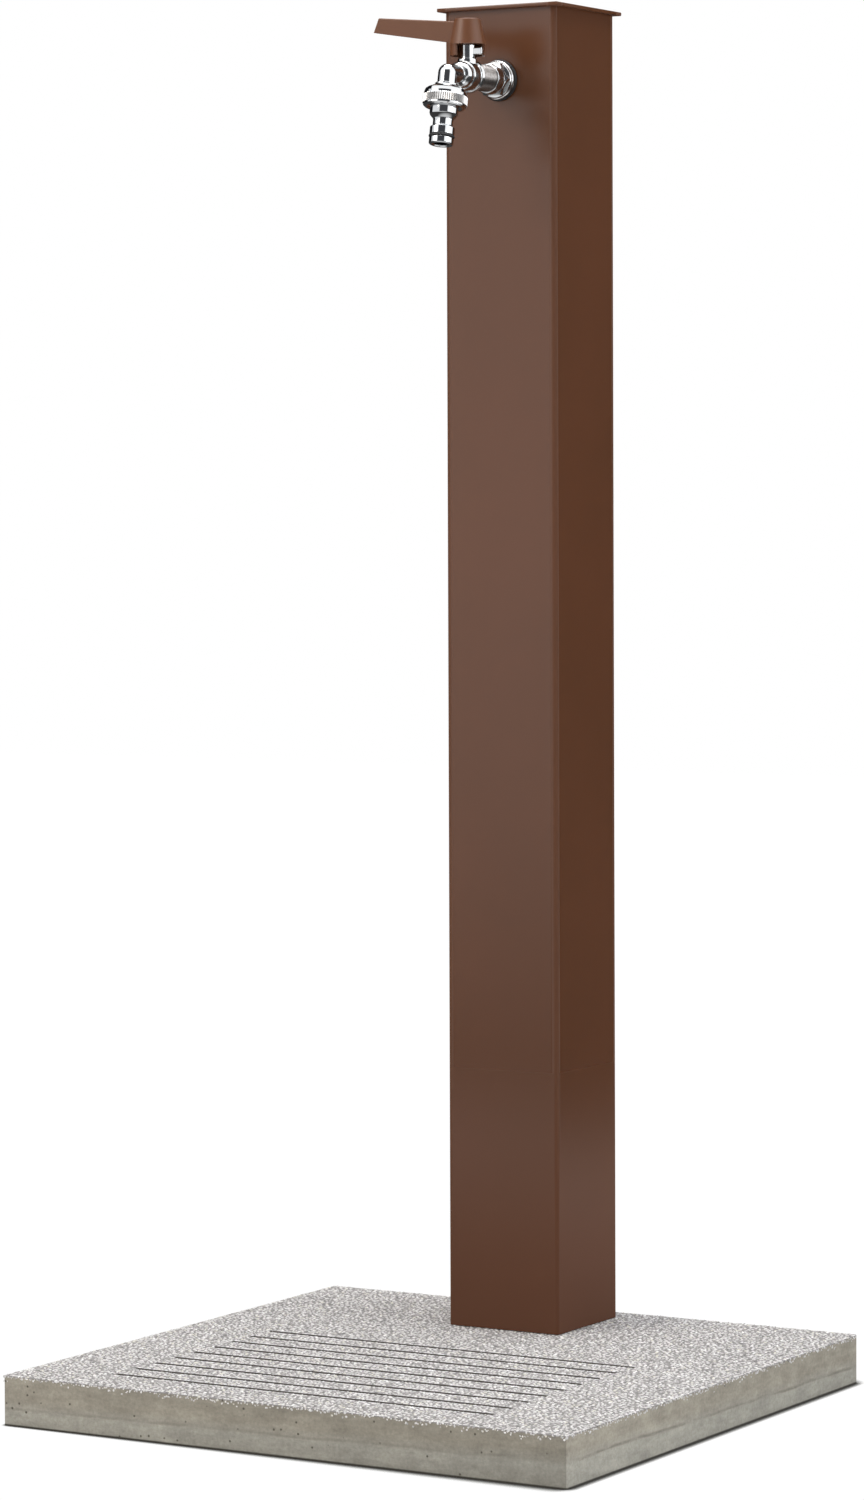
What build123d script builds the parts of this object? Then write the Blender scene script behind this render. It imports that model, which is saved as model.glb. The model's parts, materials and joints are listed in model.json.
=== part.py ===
"""Garden standpipe: a square painted column on a concrete slab, with a lever ball tap
and a click hose connector near its top.

Millimetres. The origin is the centre of the slab's underside, +Z is up and the tap
looks along -Y. Reaches along the tap are counted outwards from the column's front
face, heights on the stem from the tap's axis, and distances along the spout down
from the middle of its elbow.
"""

import os
from math import asin, cos, degrees, radians, sin

from build123d import *

# Clearances, and the length by which a cut runs past what it cuts
sliding_gap = 0.1
running_gap = 0.3
cut_overrun = 5.0
same_size = 0.001

# Paving slab
slab_width = 500.0
slab_depth = 500.0
slab_thickness = 40.0
slab_edge_radius = 1.5
slab_corner_radius = 2.5
slab_hole_radius = 20.0

# Column and its place on the slab
column_side = 102.0
column_wall = 2.0
column_height = 1080.0
column_corner_radius = 2.5
column_shift = -11.0
column_back_gap = 25.0

# Splash grooves cast in the slab in front of the column
groove_count = 9
groove_pitch = 28.3
groove_length = 338.0
groove_width = 4.0
groove_depth = 5.0
groove_shift = -7.5
groove_first_gap = 98.0

# Cap and the frame under it
cap_overhang = 5.0
cap_thickness = 3.0
cap_corner_radius = 1.5
cap_frame_depth = 22.0
cap_frame_wall = 2.0

# Foot plate inside the column, and the bolts that clamp the slab to it
foot_plate_thickness = 5.0
bolt_spacing = 68.0
bolt_radius = 4.0
bolt_hole_radius = 4.5
bolt_reach = 1.5
bolt_head_across = 13.0
bolt_head_height = 5.3
bolt_washer_radius = 12.0
bolt_washer_thickness = 1.6
weld_nut_height = 6.5
bolt_pocket_radius = 13.5
bolt_pocket_depth = 12.0

# Threaded tail of the tap: half-inch pipe thread
tail_radius = 10.4
thread_pitch = 1.814
thread_depth = 0.75

# Gasket, flange nut, and the washer and locknut behind the column's wall
gasket_thickness = 3.5
gasket_radius = 17.0
flange_radius = 16.1
flange_thickness = 4.4
flange_slope_length = 2.6
flange_hex_across = 25.5
flange_hex_length = 11.6
flange_hex_chamfer = 0.8
collar_radius = 11.9
collar_length = 3.0
locknut_across = 30.0
locknut_height = 6.0
locknut_washer_radius = 18.0
locknut_washer_thickness = 1.5

# Elbow inside the column, and the riser pipe
elbow_radius = 14.0
elbow_band_radius = 15.5
elbow_band_length = 7.0
elbow_socket_depth = 13.0
elbow_turn_length = 11.0
riser_radius = 10.65
riser_bore_radius = 8.3

# Inlet coupling in the slab, and the grommet round the riser
coupling_across = 30.0
coupling_length = 34.0
coupling_lift = 4.0
coupling_socket_depth = 14.0
inlet_thread_radius = 9.3
inlet_thread_length = 15.0
grommet_hole_in_plate_radius = 16.0
grommet_lip_radius = 19.0
grommet_lip_thickness = 3.0

# Tap body: where its axis lies under the column's top, and its turned shape
tap_drop = 58.0
body_rear = 47.0
body_length = 14.5
body_radius = 12.1
body_front_slope_length = 1.6
body_front_slope_depth = 0.6
rear_rim_radius = 13.7
rear_rim_length = 4.0
rear_rim_round = 1.4
body_bore_radius = 6.5
cavity_radius = 8.6
stem_reach = 52.8

# Ball and its two seats
ball_radius = 7.2
ball_bore_radius = 4.4
ball_slot_width = 3.4
ball_slot_depth = 2.2
seat_far_share = 0.82
seat_length = 3.0
seat_bore_radius = 4.7

# Neck, stop lug and stem
neck_radius = 7.0
neck_top = 25.0
neck_foot_radius = 8.0
neck_foot_bottom = 12.5
neck_foot_top = 15.5
lug_reach = 14.4
lug_width = 5.0
lug_bottom = 16.7
lug_top = 22.2
stem_radius = 3.5
stem_bore_gap = 0.06
stem_shoulder_radius = 4.6
stem_shoulder_height = 1.6
stem_square = 5.4
stem_square_height = 14.0
stem_screw_hole_depth = 9.0
tang_width = 3.0
tang_length = 4.8
ring_heights = (15.5, 20.5)
ring_groove_height = 1.3
ring_groove_radius = 2.5
ring_wire_radius = 0.5

# Lever
hub_bottom = 25.2
hub_top = 45.8
hub_bottom_radius = 14.5
hub_top_radius = 10.4
hub_edge_round = 1.2
skirt_bottom = 16.0
skirt_radius = 14.1
skirt_wall = 2.1
skirt_stop_angle = 1.0
lever_turn = 90.0
arm_root_reach = 8.0
arm_top_reach = 81.0
arm_bottom_reach = 85.8
arm_root_top = 43.8
arm_root_bottom = 26.2
arm_tip_top = 50.3
arm_tip_bottom = 38.7
arm_root_width = 13.0
arm_tip_width = 10.5
arm_edge_round = 1.0
arm_tip_round = 3.0
arm_wall = 2.4
pocket_root_reach = 17.0
screw_radius = 1.95
screw_length = 8.5
screw_head_radius = 3.5
screw_head_height = 2.8
screw_pocket_radius = 5.0
screw_pocket_depth = 4.6
screw_socket_across = 3.0
screw_socket_depth = 1.6

# End cap that closes the valve's front and holds the spout
cap_band_radius = 11.0
cap_band_length = 3.0
cap_shoulder_middle_radius = 10.2
cap_shoulder_middle_length = 2.7
cap_shoulder_length = 4.6
cap_nose_radius = 8.1
spout_socket_depth = 3.6

# Spout
spout_reach = 85.0
spout_radius = 7.6
spout_dome_radius = 7.9
spout_bore_radius = 5.4
spout_tilt = 11.0
spout_ring_top = 9.0
spout_ring_radius = 9.2
spout_ring_height = 1.6
spout_cone_height = 2.3
spout_thread_radius = 13.2
spout_thread_length = 8.5
spout_mouth_radius = 9.0
spout_mouth_depth = 5.0

# Hose connector: swivel nut, washer and nose
nut_top_gap = 0.4
nut_top_radius = 15.0
nut_cone_height = 3.9
nut_band_radius = 17.4
nut_band_height = 2.4
knurl_radius = 18.1
knurl_height = 6.2
knurl_count = 60
knurl_size = 0.6
nut_lip_height = 1.5
nut_end_radius = 16.2
nut_end_height = 1.1
nut_mouth_radius = 14.2
nut_mouth_depth = 1.4
connector_washer_thickness = 1.8
connector_washer_hole_radius = 7.5
nose_flange_thickness = 1.4
nose_body_radius = 11.5
nose_body_end = 34.3
nose_taper_end = 38.3
nose_neck_radius = 8.1
nose_neck_end = 43.9
nose_collar_radius = 10.0
nose_collar_start = 45.0
nose_collar_end = 50.9
nose_groove_radius = 8.1
nose_groove_end = 53.7
nose_tip_radius = 9.9
nose_tip_end = 59.0
nose_tip_round = 0.7
nose_bore_radius = 6.3
nose_mouth_radius = 7.3
nose_mouth_depth = 1.0
nose_ring_wire_radius = 1.2

# Places that several pieces share
column_x = column_shift
column_y = slab_depth / 2 - column_back_gap - column_side / 2
column_front_y = column_y - column_side / 2
column_foot_z = slab_thickness
column_top_z = column_foot_z + column_height
column_inner_side = column_side - 2 * column_wall
plate_top_z = column_foot_z + foot_plate_thickness
washer_z = bolt_pocket_depth - bolt_washer_thickness
tap_axis_z = column_top_z - tap_drop
washer_end = -column_wall - locknut_washer_thickness
locknut_end = washer_end - locknut_height
elbow_face = locknut_end - sliding_gap
tail_end = elbow_face - elbow_socket_depth + sliding_gap
riser_reach = elbow_face - elbow_socket_depth - elbow_turn_length
riser_y = column_front_y - riser_reach
elbow_foot = -(elbow_socket_depth + elbow_turn_length)
coupling_top_z = coupling_lift + coupling_length
flange_front = gasket_thickness + flange_thickness
flange_hex_front = flange_front + flange_hex_length
collar_front = flange_hex_front + collar_length
body_front = body_rear + body_length
seat_far = ball_radius * seat_far_share
seat_near = seat_far - seat_length
seat_ball_radius = ball_radius + sliding_gap
cavity_rear = stem_reach - seat_far - sliding_gap
plug_rear = stem_reach + seat_far + sliding_gap
cap_band_front = body_front + cap_band_length
cap_front = cap_band_front + cap_shoulder_length
spout_socket_end = cap_front - spout_socket_depth
stem_shoulder_foot = cavity_radius + sliding_gap
stem_shoulder_top = stem_shoulder_foot + stem_shoulder_height
stem_bore_radius = stem_radius + stem_bore_gap
stem_square_foot = neck_top
stem_top = stem_square_foot + stem_square_height
screw_seat = hub_top - screw_pocket_depth
spout_ring_end = spout_ring_top + spout_ring_height
spout_cone_end = spout_ring_end + spout_cone_height
spout_end = spout_cone_end + spout_thread_length
nut_top = spout_cone_end + nut_top_gap
nut_cone_end = nut_top + nut_cone_height
knurl_top = nut_cone_end + nut_band_height
knurl_end = knurl_top + knurl_height
nut_lip_end = knurl_end + nut_lip_height
nut_end = nut_lip_end + nut_end_height
nut_bore_radius = spout_thread_radius + sliding_gap
nose_top = spout_end + connector_washer_thickness
nose_flange_radius = nut_bore_radius - running_gap
nose_flange_end = nose_top + nose_flange_thickness
nut_seat = nose_flange_end + sliding_gap


def lathe_plane(origin, along):
    """The plane of a turned profile: X is the radius and Y runs along the axis."""
    return Plane(origin=origin, x_dir=(1, 0, 0), z_dir=Vector(1, 0, 0).cross(along))


def across(plane, reach):
    """The plane square to a turned piece's axis, a given reach along it."""
    return Plane(origin=plane.origin + plane.y_dir * reach, x_dir=(1, 0, 0), z_dir=plane.y_dir)


def outline(plane, *points):
    """A closed outline of straight lines, drawn on a plane."""
    with BuildSketch(plane) as shape:
        with BuildLine():
            Polyline(*points, close=True)
        make_face()
    return shape.sketch


def round_edges(builder, radius):
    """The circular edges of one radius."""
    circles = builder.edges().filter_by(GeomType.CIRCLE)
    return circles.filter_by(lambda edge: abs(edge.radius - radius) < same_size)


def bolt_places():
    """The four places of the bolts round the column's axis."""
    half = bolt_spacing / 2
    return [(column_x + i * half, column_y + j * half) for i in (-1, 1) for j in (-1, 1)]


def save(builder, label):
    """Names a finished piece and writes it to its own file."""
    builder.part.label = label
    export_step(builder.part, f"parts/{label}.step")


tap_origin = Vector(column_x, column_front_y, tap_axis_z)
stem_origin = Vector(column_x, column_front_y - stem_reach, tap_axis_z)
spout_origin = Vector(column_x, column_front_y - spout_reach, tap_axis_z)
riser_origin = Vector(column_x, riser_y, tap_axis_z)
spout_down = Vector(0, -sin(radians(spout_tilt)), -cos(radians(spout_tilt)))

tap_lathe = lathe_plane(tap_origin, Vector(0, -1, 0))
stem_lathe = lathe_plane(stem_origin, Vector(0, 0, 1))
riser_lathe = lathe_plane(riser_origin, Vector(0, 0, 1))
spout_lathe = lathe_plane(spout_origin, spout_down)
tap_axis = Axis(tap_origin, (0, -1, 0))
stem_axis = Axis(stem_origin, (0, 0, 1))
riser_axis = Axis(riser_origin, (0, 0, 1))
spout_axis = Axis(spout_origin, spout_down)

os.makedirs("parts", exist_ok=True)

# Slab: cast concrete, with a pipe hole, four bolt pockets below and grooves on top
with BuildPart() as base_slab:
    with BuildSketch(Plane.XY):
        RectangleRounded(slab_width, slab_depth, slab_corner_radius)
    extrude(amount=slab_thickness)
    fillet(base_slab.faces().sort_by(Axis.Z)[-1].edges(), radius=slab_edge_radius)
    with BuildSketch(Plane.XY.offset(slab_thickness - groove_depth)):
        for row in range(groove_count):
            groove_y = column_front_y - groove_first_gap - row * groove_pitch
            with Locations((groove_shift, groove_y)):
                SlotOverall(groove_length, groove_width)
    extrude(amount=groove_depth + cut_overrun, mode=Mode.SUBTRACT)
    with BuildSketch(Plane.XY):
        with Locations((column_x, riser_y)):
            Circle(slab_hole_radius)
        with Locations(*bolt_places()):
            Circle(bolt_hole_radius)
    extrude(amount=slab_thickness, mode=Mode.SUBTRACT)
    with BuildSketch(Plane.XY):
        with Locations(*bolt_places()):
            Circle(bolt_pocket_radius)
    extrude(amount=bolt_pocket_depth, mode=Mode.SUBTRACT)
save(base_slab, "base_slab")

# Column: square tube with rounded corners and one hole for the tap's tail
with BuildPart() as column:
    with BuildSketch(Plane.XY.offset(column_foot_z)):
        with Locations((column_x, column_y)):
            inner_corner = column_corner_radius - column_wall
            RectangleRounded(column_side, column_side, column_corner_radius)
            RectangleRounded(
                column_inner_side, column_inner_side, inner_corner, mode=Mode.SUBTRACT
            )
    extrude(amount=column_height)
    with BuildSketch(across(tap_lathe, cut_overrun)):
        Circle(tail_radius + running_gap)
    extrude(amount=-(cut_overrun + column_side / 2), mode=Mode.SUBTRACT)
save(column, "column")

# Foot plate: welded inside the column's foot, it takes the bolts and the grommet
with BuildPart() as foot_plate:
    with BuildSketch(Plane.XY.offset(column_foot_z)):
        with Locations((column_x, column_y)):
            foot_plate_side = column_inner_side - 2 * sliding_gap
            RectangleRounded(foot_plate_side, foot_plate_side, inner_corner)
        with Locations((column_x, riser_y)):
            Circle(grommet_hole_in_plate_radius, mode=Mode.SUBTRACT)
        with Locations(*bolt_places()):
            Circle(bolt_hole_radius, mode=Mode.SUBTRACT)
    extrude(amount=foot_plate_thickness)
save(foot_plate, "foot_plate")

# Weld nuts on the foot plate
with BuildPart() as weld_nuts:
    with BuildSketch(Plane.XY.offset(plate_top_z)):
        with Locations(*bolt_places()):
            RegularPolygon(bolt_head_across / 2, 6, major_radius=False)
            Circle(bolt_radius + sliding_gap, mode=Mode.SUBTRACT)
    extrude(amount=weld_nut_height)
save(weld_nuts, "weld_nuts")

# Washers in the slab's bolt pockets
with BuildPart() as bolt_washers:
    with BuildSketch(Plane.XY.offset(washer_z)):
        with Locations(*bolt_places()):
            Circle(bolt_washer_radius)
            Circle(bolt_hole_radius, mode=Mode.SUBTRACT)
    extrude(amount=bolt_washer_thickness)
save(bolt_washers, "bolt_washers")

# Hex bolts, up through the slab and the foot plate into the weld nuts
with BuildPart() as slab_bolts:
    with BuildSketch(Plane.XY.offset(washer_z)):
        with Locations(*bolt_places()):
            Circle(bolt_radius)
    extrude(amount=plate_top_z + weld_nut_height + bolt_reach - washer_z)
    with BuildSketch(Plane.XY.offset(washer_z)):
        with Locations(*bolt_places()):
            RegularPolygon(bolt_head_across / 2, 6, major_radius=False)
    extrude(amount=-bolt_head_height)
save(slab_bolts, "slab_bolts")

# Cap: a flat plate that stands out over the column on every side
with BuildPart() as cap_plate:
    with BuildSketch(Plane.XY.offset(column_top_z)):
        with Locations((column_x, column_y)):
            cap_side = column_side + 2 * cap_overhang
            RectangleRounded(cap_side, cap_side, cap_corner_radius)
    extrude(amount=cap_thickness)
save(cap_plate, "cap_plate")

# Frame welded under the cap, which plugs into the column
with BuildPart() as cap_frame:
    with BuildSketch(Plane.XY.offset(column_top_z - cap_frame_depth)):
        with Locations((column_x, column_y)):
            frame_side = column_inner_side - 2 * running_gap
            frame_inner_side = frame_side - 2 * cap_frame_wall
            RectangleRounded(frame_side, frame_side, inner_corner)
            Rectangle(frame_inner_side, frame_inner_side, mode=Mode.SUBTRACT)
    extrude(amount=cap_frame_depth)
save(cap_frame, "cap_frame")

# Riser: steel pipe from the inlet coupling up to the elbow
riser_top = elbow_foot + elbow_socket_depth - sliding_gap
riser_foot = coupling_top_z - coupling_socket_depth + sliding_gap - tap_axis_z
with BuildPart() as riser_pipe:
    with BuildSketch(across(riser_lathe, riser_foot)):
        Circle(riser_radius)
        Circle(riser_bore_radius, mode=Mode.SUBTRACT)
    extrude(amount=riser_top - riser_foot)
save(riser_pipe, "riser_pipe")

# Elbow: brass, with a banded socket for the tap's tail and one for the riser
with BuildPart() as wall_elbow:
    with BuildSketch(across(tap_lathe, elbow_face)):
        Circle(elbow_radius)
    extrude(amount=riser_reach - elbow_face)
    with BuildSketch(across(tap_lathe, elbow_face)):
        Circle(elbow_band_radius)
    extrude(amount=-elbow_band_length)
    with BuildSketch(across(riser_lathe, elbow_foot)):
        Circle(elbow_radius)
    extrude(amount=-elbow_foot)
    with BuildSketch(across(riser_lathe, elbow_foot)):
        Circle(elbow_band_radius)
    extrude(amount=elbow_band_length)
    with Locations(riser_origin):
        Sphere(elbow_radius)
    with BuildSketch(across(tap_lathe, elbow_face)):
        Circle(tail_radius + sliding_gap)
    extrude(amount=-elbow_socket_depth, mode=Mode.SUBTRACT)
    with BuildSketch(across(tap_lathe, elbow_face)):
        Circle(riser_bore_radius)
    extrude(amount=riser_reach - elbow_face, mode=Mode.SUBTRACT)
    with BuildSketch(across(riser_lathe, elbow_foot)):
        Circle(riser_radius + sliding_gap)
    extrude(amount=elbow_socket_depth, mode=Mode.SUBTRACT)
    with BuildSketch(across(riser_lathe, elbow_foot)):
        Circle(riser_bore_radius)
    extrude(amount=-elbow_foot, mode=Mode.SUBTRACT)
    with Locations(riser_origin):
        Sphere(riser_bore_radius, mode=Mode.SUBTRACT)
save(wall_elbow, "wall_elbow")

# Inlet coupling: hexagonal, on the riser's foot, with the water inlet's thread below
with BuildPart() as inlet_coupling:
    with BuildSketch(Plane.XY.offset(coupling_lift)):
        with Locations((column_x, riser_y)):
            RegularPolygon(coupling_across / 2, 6, major_radius=False)
    extrude(amount=coupling_length)
    with BuildSketch(Plane.XY.offset(coupling_lift)):
        with Locations((column_x, riser_y)):
            Circle(inlet_thread_radius)
    extrude(amount=inlet_thread_length, mode=Mode.SUBTRACT)
    with BuildSketch(Plane.XY.offset(coupling_lift)):
        with Locations((column_x, riser_y)):
            Circle(riser_bore_radius)
    extrude(amount=coupling_length, mode=Mode.SUBTRACT)
    with BuildSketch(Plane.XY.offset(coupling_top_z)):
        with Locations((column_x, riser_y)):
            Circle(riser_radius + sliding_gap)
    extrude(amount=-coupling_socket_depth, mode=Mode.SUBTRACT)
save(inlet_coupling, "inlet_coupling")

# Grommet: rubber, in the foot plate's hole round the riser
grommet_hole_radius = riser_radius + sliding_gap
grommet_web_radius = grommet_hole_in_plate_radius - sliding_gap
grommet_foot = column_foot_z - tap_axis_z
grommet_seat = plate_top_z - tap_axis_z
grommet_head = grommet_seat + grommet_lip_thickness
with BuildPart() as pipe_grommet:
    grommet_profile = outline(
        riser_lathe,
        (grommet_hole_radius, grommet_foot),
        (grommet_web_radius, grommet_foot),
        (grommet_web_radius, grommet_seat),
        (grommet_lip_radius, grommet_seat),
        (grommet_lip_radius, grommet_head),
        (grommet_hole_radius, grommet_head),
    )
    revolve(grommet_profile, axis=riser_axis)
save(pipe_grommet, "pipe_grommet")

# Gasket between the column and the flange nut
with BuildPart() as wall_gasket:
    with BuildSketch(across(tap_lathe, 0)):
        Circle(gasket_radius)
        Circle(tail_radius + sliding_gap, mode=Mode.SUBTRACT)
    extrude(amount=gasket_thickness)
save(wall_gasket, "wall_gasket")

# Washer and locknut behind the column's wall
with BuildPart() as tail_washer:
    with BuildSketch(across(tap_lathe, washer_end)):
        Circle(locknut_washer_radius)
        Circle(tail_radius + sliding_gap, mode=Mode.SUBTRACT)
    extrude(amount=locknut_washer_thickness)
save(tail_washer, "tail_washer")

with BuildPart() as tail_locknut:
    with BuildSketch(across(tap_lathe, locknut_end)):
        RegularPolygon(locknut_across / 2, 6, major_radius=False)
        Circle(tail_radius + sliding_gap, mode=Mode.SUBTRACT)
    extrude(amount=locknut_height)
save(tail_locknut, "tail_locknut")

# Flange nut: round flange with a sloped front, a hexagon and a smooth collar
flange_slope_end = flange_front + flange_slope_length
flange_hex_corner = flange_hex_across / 2 / cos(radians(30))
with BuildPart() as flange_nut:
    with BuildSketch(across(tap_lathe, gasket_thickness)):
        Circle(flange_radius)
    extrude(amount=flange_thickness + flange_slope_length)
    with BuildSketch(across(tap_lathe, gasket_thickness)):
        RegularPolygon(flange_hex_across / 2, 6, major_radius=False)
    extrude(amount=flange_hex_front - gasket_thickness)
    flange_envelope = outline(
        tap_lathe,
        (0, gasket_thickness),
        (flange_radius, gasket_thickness),
        (flange_radius, flange_front),
        (flange_hex_corner, flange_slope_end),
        (flange_hex_corner, flange_hex_front - flange_hex_chamfer),
        (flange_hex_across / 2, flange_hex_front),
        (0, flange_hex_front),
    )
    revolve(flange_envelope, axis=tap_axis, mode=Mode.INTERSECT)
    with BuildSketch(across(tap_lathe, flange_hex_front)):
        Circle(collar_radius)
    extrude(amount=collar_length)
    chamfer(round_edges(flange_nut, collar_radius).sort_by(Axis.Y)[0], length=flange_hex_chamfer)
    with BuildSketch(across(tap_lathe, gasket_thickness)):
        Circle(tail_radius + sliding_gap)
    extrude(amount=collar_front - gasket_thickness, mode=Mode.SUBTRACT)
save(flange_nut, "flange_nut")

# Tap body: threaded tail, valve body with its rear rim, stem neck and stop lug
thread_turns = int((body_rear - collar_front) / thread_pitch)
with BuildPart() as neck_foot:
    foot_profile = outline(
        stem_lathe,
        (0, 0),
        (neck_foot_radius, 0),
        (neck_foot_radius, neck_foot_bottom),
        (neck_radius, neck_foot_top),
        (0, neck_foot_top),
    )
    revolve(foot_profile, axis=stem_axis)
    with BuildSketch(across(tap_lathe, body_rear)):
        Circle(neck_foot_top + cut_overrun)
    extrude(amount=body_length, mode=Mode.INTERSECT)

with BuildPart() as tap_body:
    body_profile = outline(
        tap_lathe,
        (0, tail_end),
        (tail_radius, tail_end),
        (tail_radius, body_rear),
        (rear_rim_radius, body_rear),
        (rear_rim_radius, body_rear + rear_rim_length),
        (body_radius, body_rear + rear_rim_length),
        (body_radius, body_front - body_front_slope_length),
        (body_radius - body_front_slope_depth, body_front),
        (0, body_front),
    )
    revolve(body_profile, axis=tap_axis)
    fillet(round_edges(tap_body, rear_rim_radius), radius=rear_rim_round)
    add(neck_foot.part)
    with BuildSketch(tap_lathe):
        for turn in range(thread_turns):
            with Locations((tail_radius, body_rear - (turn + 1) * thread_pitch)):
                RegularPolygon(thread_depth, 4)
    revolve(axis=tap_axis, mode=Mode.SUBTRACT)
    with BuildSketch(across(stem_lathe, 0)):
        Circle(neck_radius)
    extrude(amount=neck_top)
    with BuildSketch(across(stem_lathe, lug_bottom)):
        Rectangle(lug_reach, lug_width, align=(Align.MIN, Align.CENTER))
    extrude(amount=lug_top - lug_bottom)
    with BuildSketch(across(tap_lathe, tail_end)):
        Circle(body_bore_radius)
    extrude(amount=cavity_rear - tail_end, mode=Mode.SUBTRACT)
    with BuildSketch(across(tap_lathe, cavity_rear)):
        Circle(cavity_radius)
    extrude(amount=body_front - cavity_rear, mode=Mode.SUBTRACT)
    with BuildSketch(across(stem_lathe, 0)):
        Circle(stem_shoulder_radius + sliding_gap)
    extrude(amount=stem_shoulder_top + sliding_gap, mode=Mode.SUBTRACT)
    with BuildSketch(across(stem_lathe, 0)):
        Circle(stem_bore_radius)
    extrude(amount=neck_top, mode=Mode.SUBTRACT)
save(tap_body, "tap_body")


def valve_seat(side):
    """A seat ring on one side of the ball: -1 is the rear one and 1 the front one."""
    with BuildPart() as seat:
        ring = outline(
            tap_lathe,
            (seat_bore_radius, stem_reach + side * seat_near),
            (cavity_radius - sliding_gap, stem_reach + side * seat_near),
            (cavity_radius - sliding_gap, stem_reach + side * seat_far),
            (seat_bore_radius, stem_reach + side * seat_far),
        )
        revolve(ring, axis=tap_axis)
        with Locations(stem_origin):
            Sphere(seat_ball_radius, mode=Mode.SUBTRACT)
    return seat


save(valve_seat(-1), "seat_rear")
save(valve_seat(1), "seat_front")

# Ball: its bore lies across the tap while the tap is shut
with BuildPart() as valve_ball:
    with Locations(stem_origin):
        Sphere(ball_radius)
    with BuildSketch(Plane.YZ.offset(column_x - ball_radius)):
        with Locations((stem_origin.Y, tap_axis_z)):
            Circle(ball_bore_radius)
    extrude(amount=2 * ball_radius, mode=Mode.SUBTRACT)
    with BuildSketch(across(stem_lathe, ball_radius - ball_slot_depth)):
        Rectangle(ball_slot_width, 2 * ball_radius)
    extrude(amount=ball_slot_depth, mode=Mode.SUBTRACT)
save(valve_ball, "valve_ball")

# Stem: tang in the ball's slot, shoulder, two ring grooves and the lever's square
tang_foot = ball_radius - ball_slot_depth + sliding_gap
with BuildPart() as valve_stem:
    with BuildSketch(across(stem_lathe, tang_foot)):
        Rectangle(tang_width, tang_length)
    extrude(amount=stem_shoulder_foot - tang_foot)
    with BuildSketch(across(stem_lathe, stem_shoulder_foot)):
        Circle(stem_shoulder_radius)
    extrude(amount=stem_shoulder_height)
    with BuildSketch(across(stem_lathe, stem_shoulder_top)):
        Circle(stem_radius)
    extrude(amount=stem_square_foot - stem_shoulder_top)
    with BuildSketch(across(stem_lathe, stem_square_foot)):
        Circle(stem_radius)
        Rectangle(stem_square, stem_square, mode=Mode.INTERSECT)
    extrude(amount=stem_square_height)
    for ring_height in ring_heights:
        with BuildSketch(across(stem_lathe, ring_height - ring_groove_height / 2)):
            Circle(stem_radius)
            Circle(ring_groove_radius, mode=Mode.SUBTRACT)
        extrude(amount=ring_groove_height, mode=Mode.SUBTRACT)
    with BuildSketch(across(stem_lathe, stem_top)):
        Circle(screw_radius + sliding_gap)
    extrude(amount=-stem_screw_hole_depth, mode=Mode.SUBTRACT)
save(valve_stem, "valve_stem")

# Rubber rings in the stem's grooves
with BuildPart() as stem_rings:
    for ring_height in ring_heights:
        with BuildSketch(stem_lathe):
            with Locations((ring_groove_radius + ring_wire_radius, ring_height)):
                Circle(ring_wire_radius)
        revolve(axis=stem_axis)
save(stem_rings, "stem_rings")

# Lever: tapered arm over a hollow, conical hub, and a skirt that turns round the lug
arm_side = Plane(origin=stem_origin, x_dir=(-1, 0, 0), z_dir=(0, 1, 0))
arm_plan = Plane(origin=stem_origin, x_dir=(-1, 0, 0), z_dir=(0, 0, 1))


def arm_block(start, bottom_drop, wall):
    """The arm's tapered block, or, with a wall taken off it, the pocket under it."""
    root_half = arm_root_width / 2 - wall
    tip_half = arm_tip_width / 2 - wall
    side_outline = outline(
        arm_side,
        (start, arm_root_bottom - bottom_drop),
        (start, arm_root_top - wall),
        (arm_top_reach - wall, arm_tip_top - wall),
        (arm_bottom_reach - wall, arm_tip_bottom - bottom_drop),
    )
    plan_outline = outline(
        arm_plan,
        (start, -root_half),
        (arm_bottom_reach, -tip_half),
        (arm_bottom_reach, tip_half),
        (start, root_half),
    )
    with BuildPart() as block:
        extrude(side_outline, amount=arm_root_width, both=True)
        extrude(plan_outline, amount=arm_tip_top, mode=Mode.INTERSECT)
    return block


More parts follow.
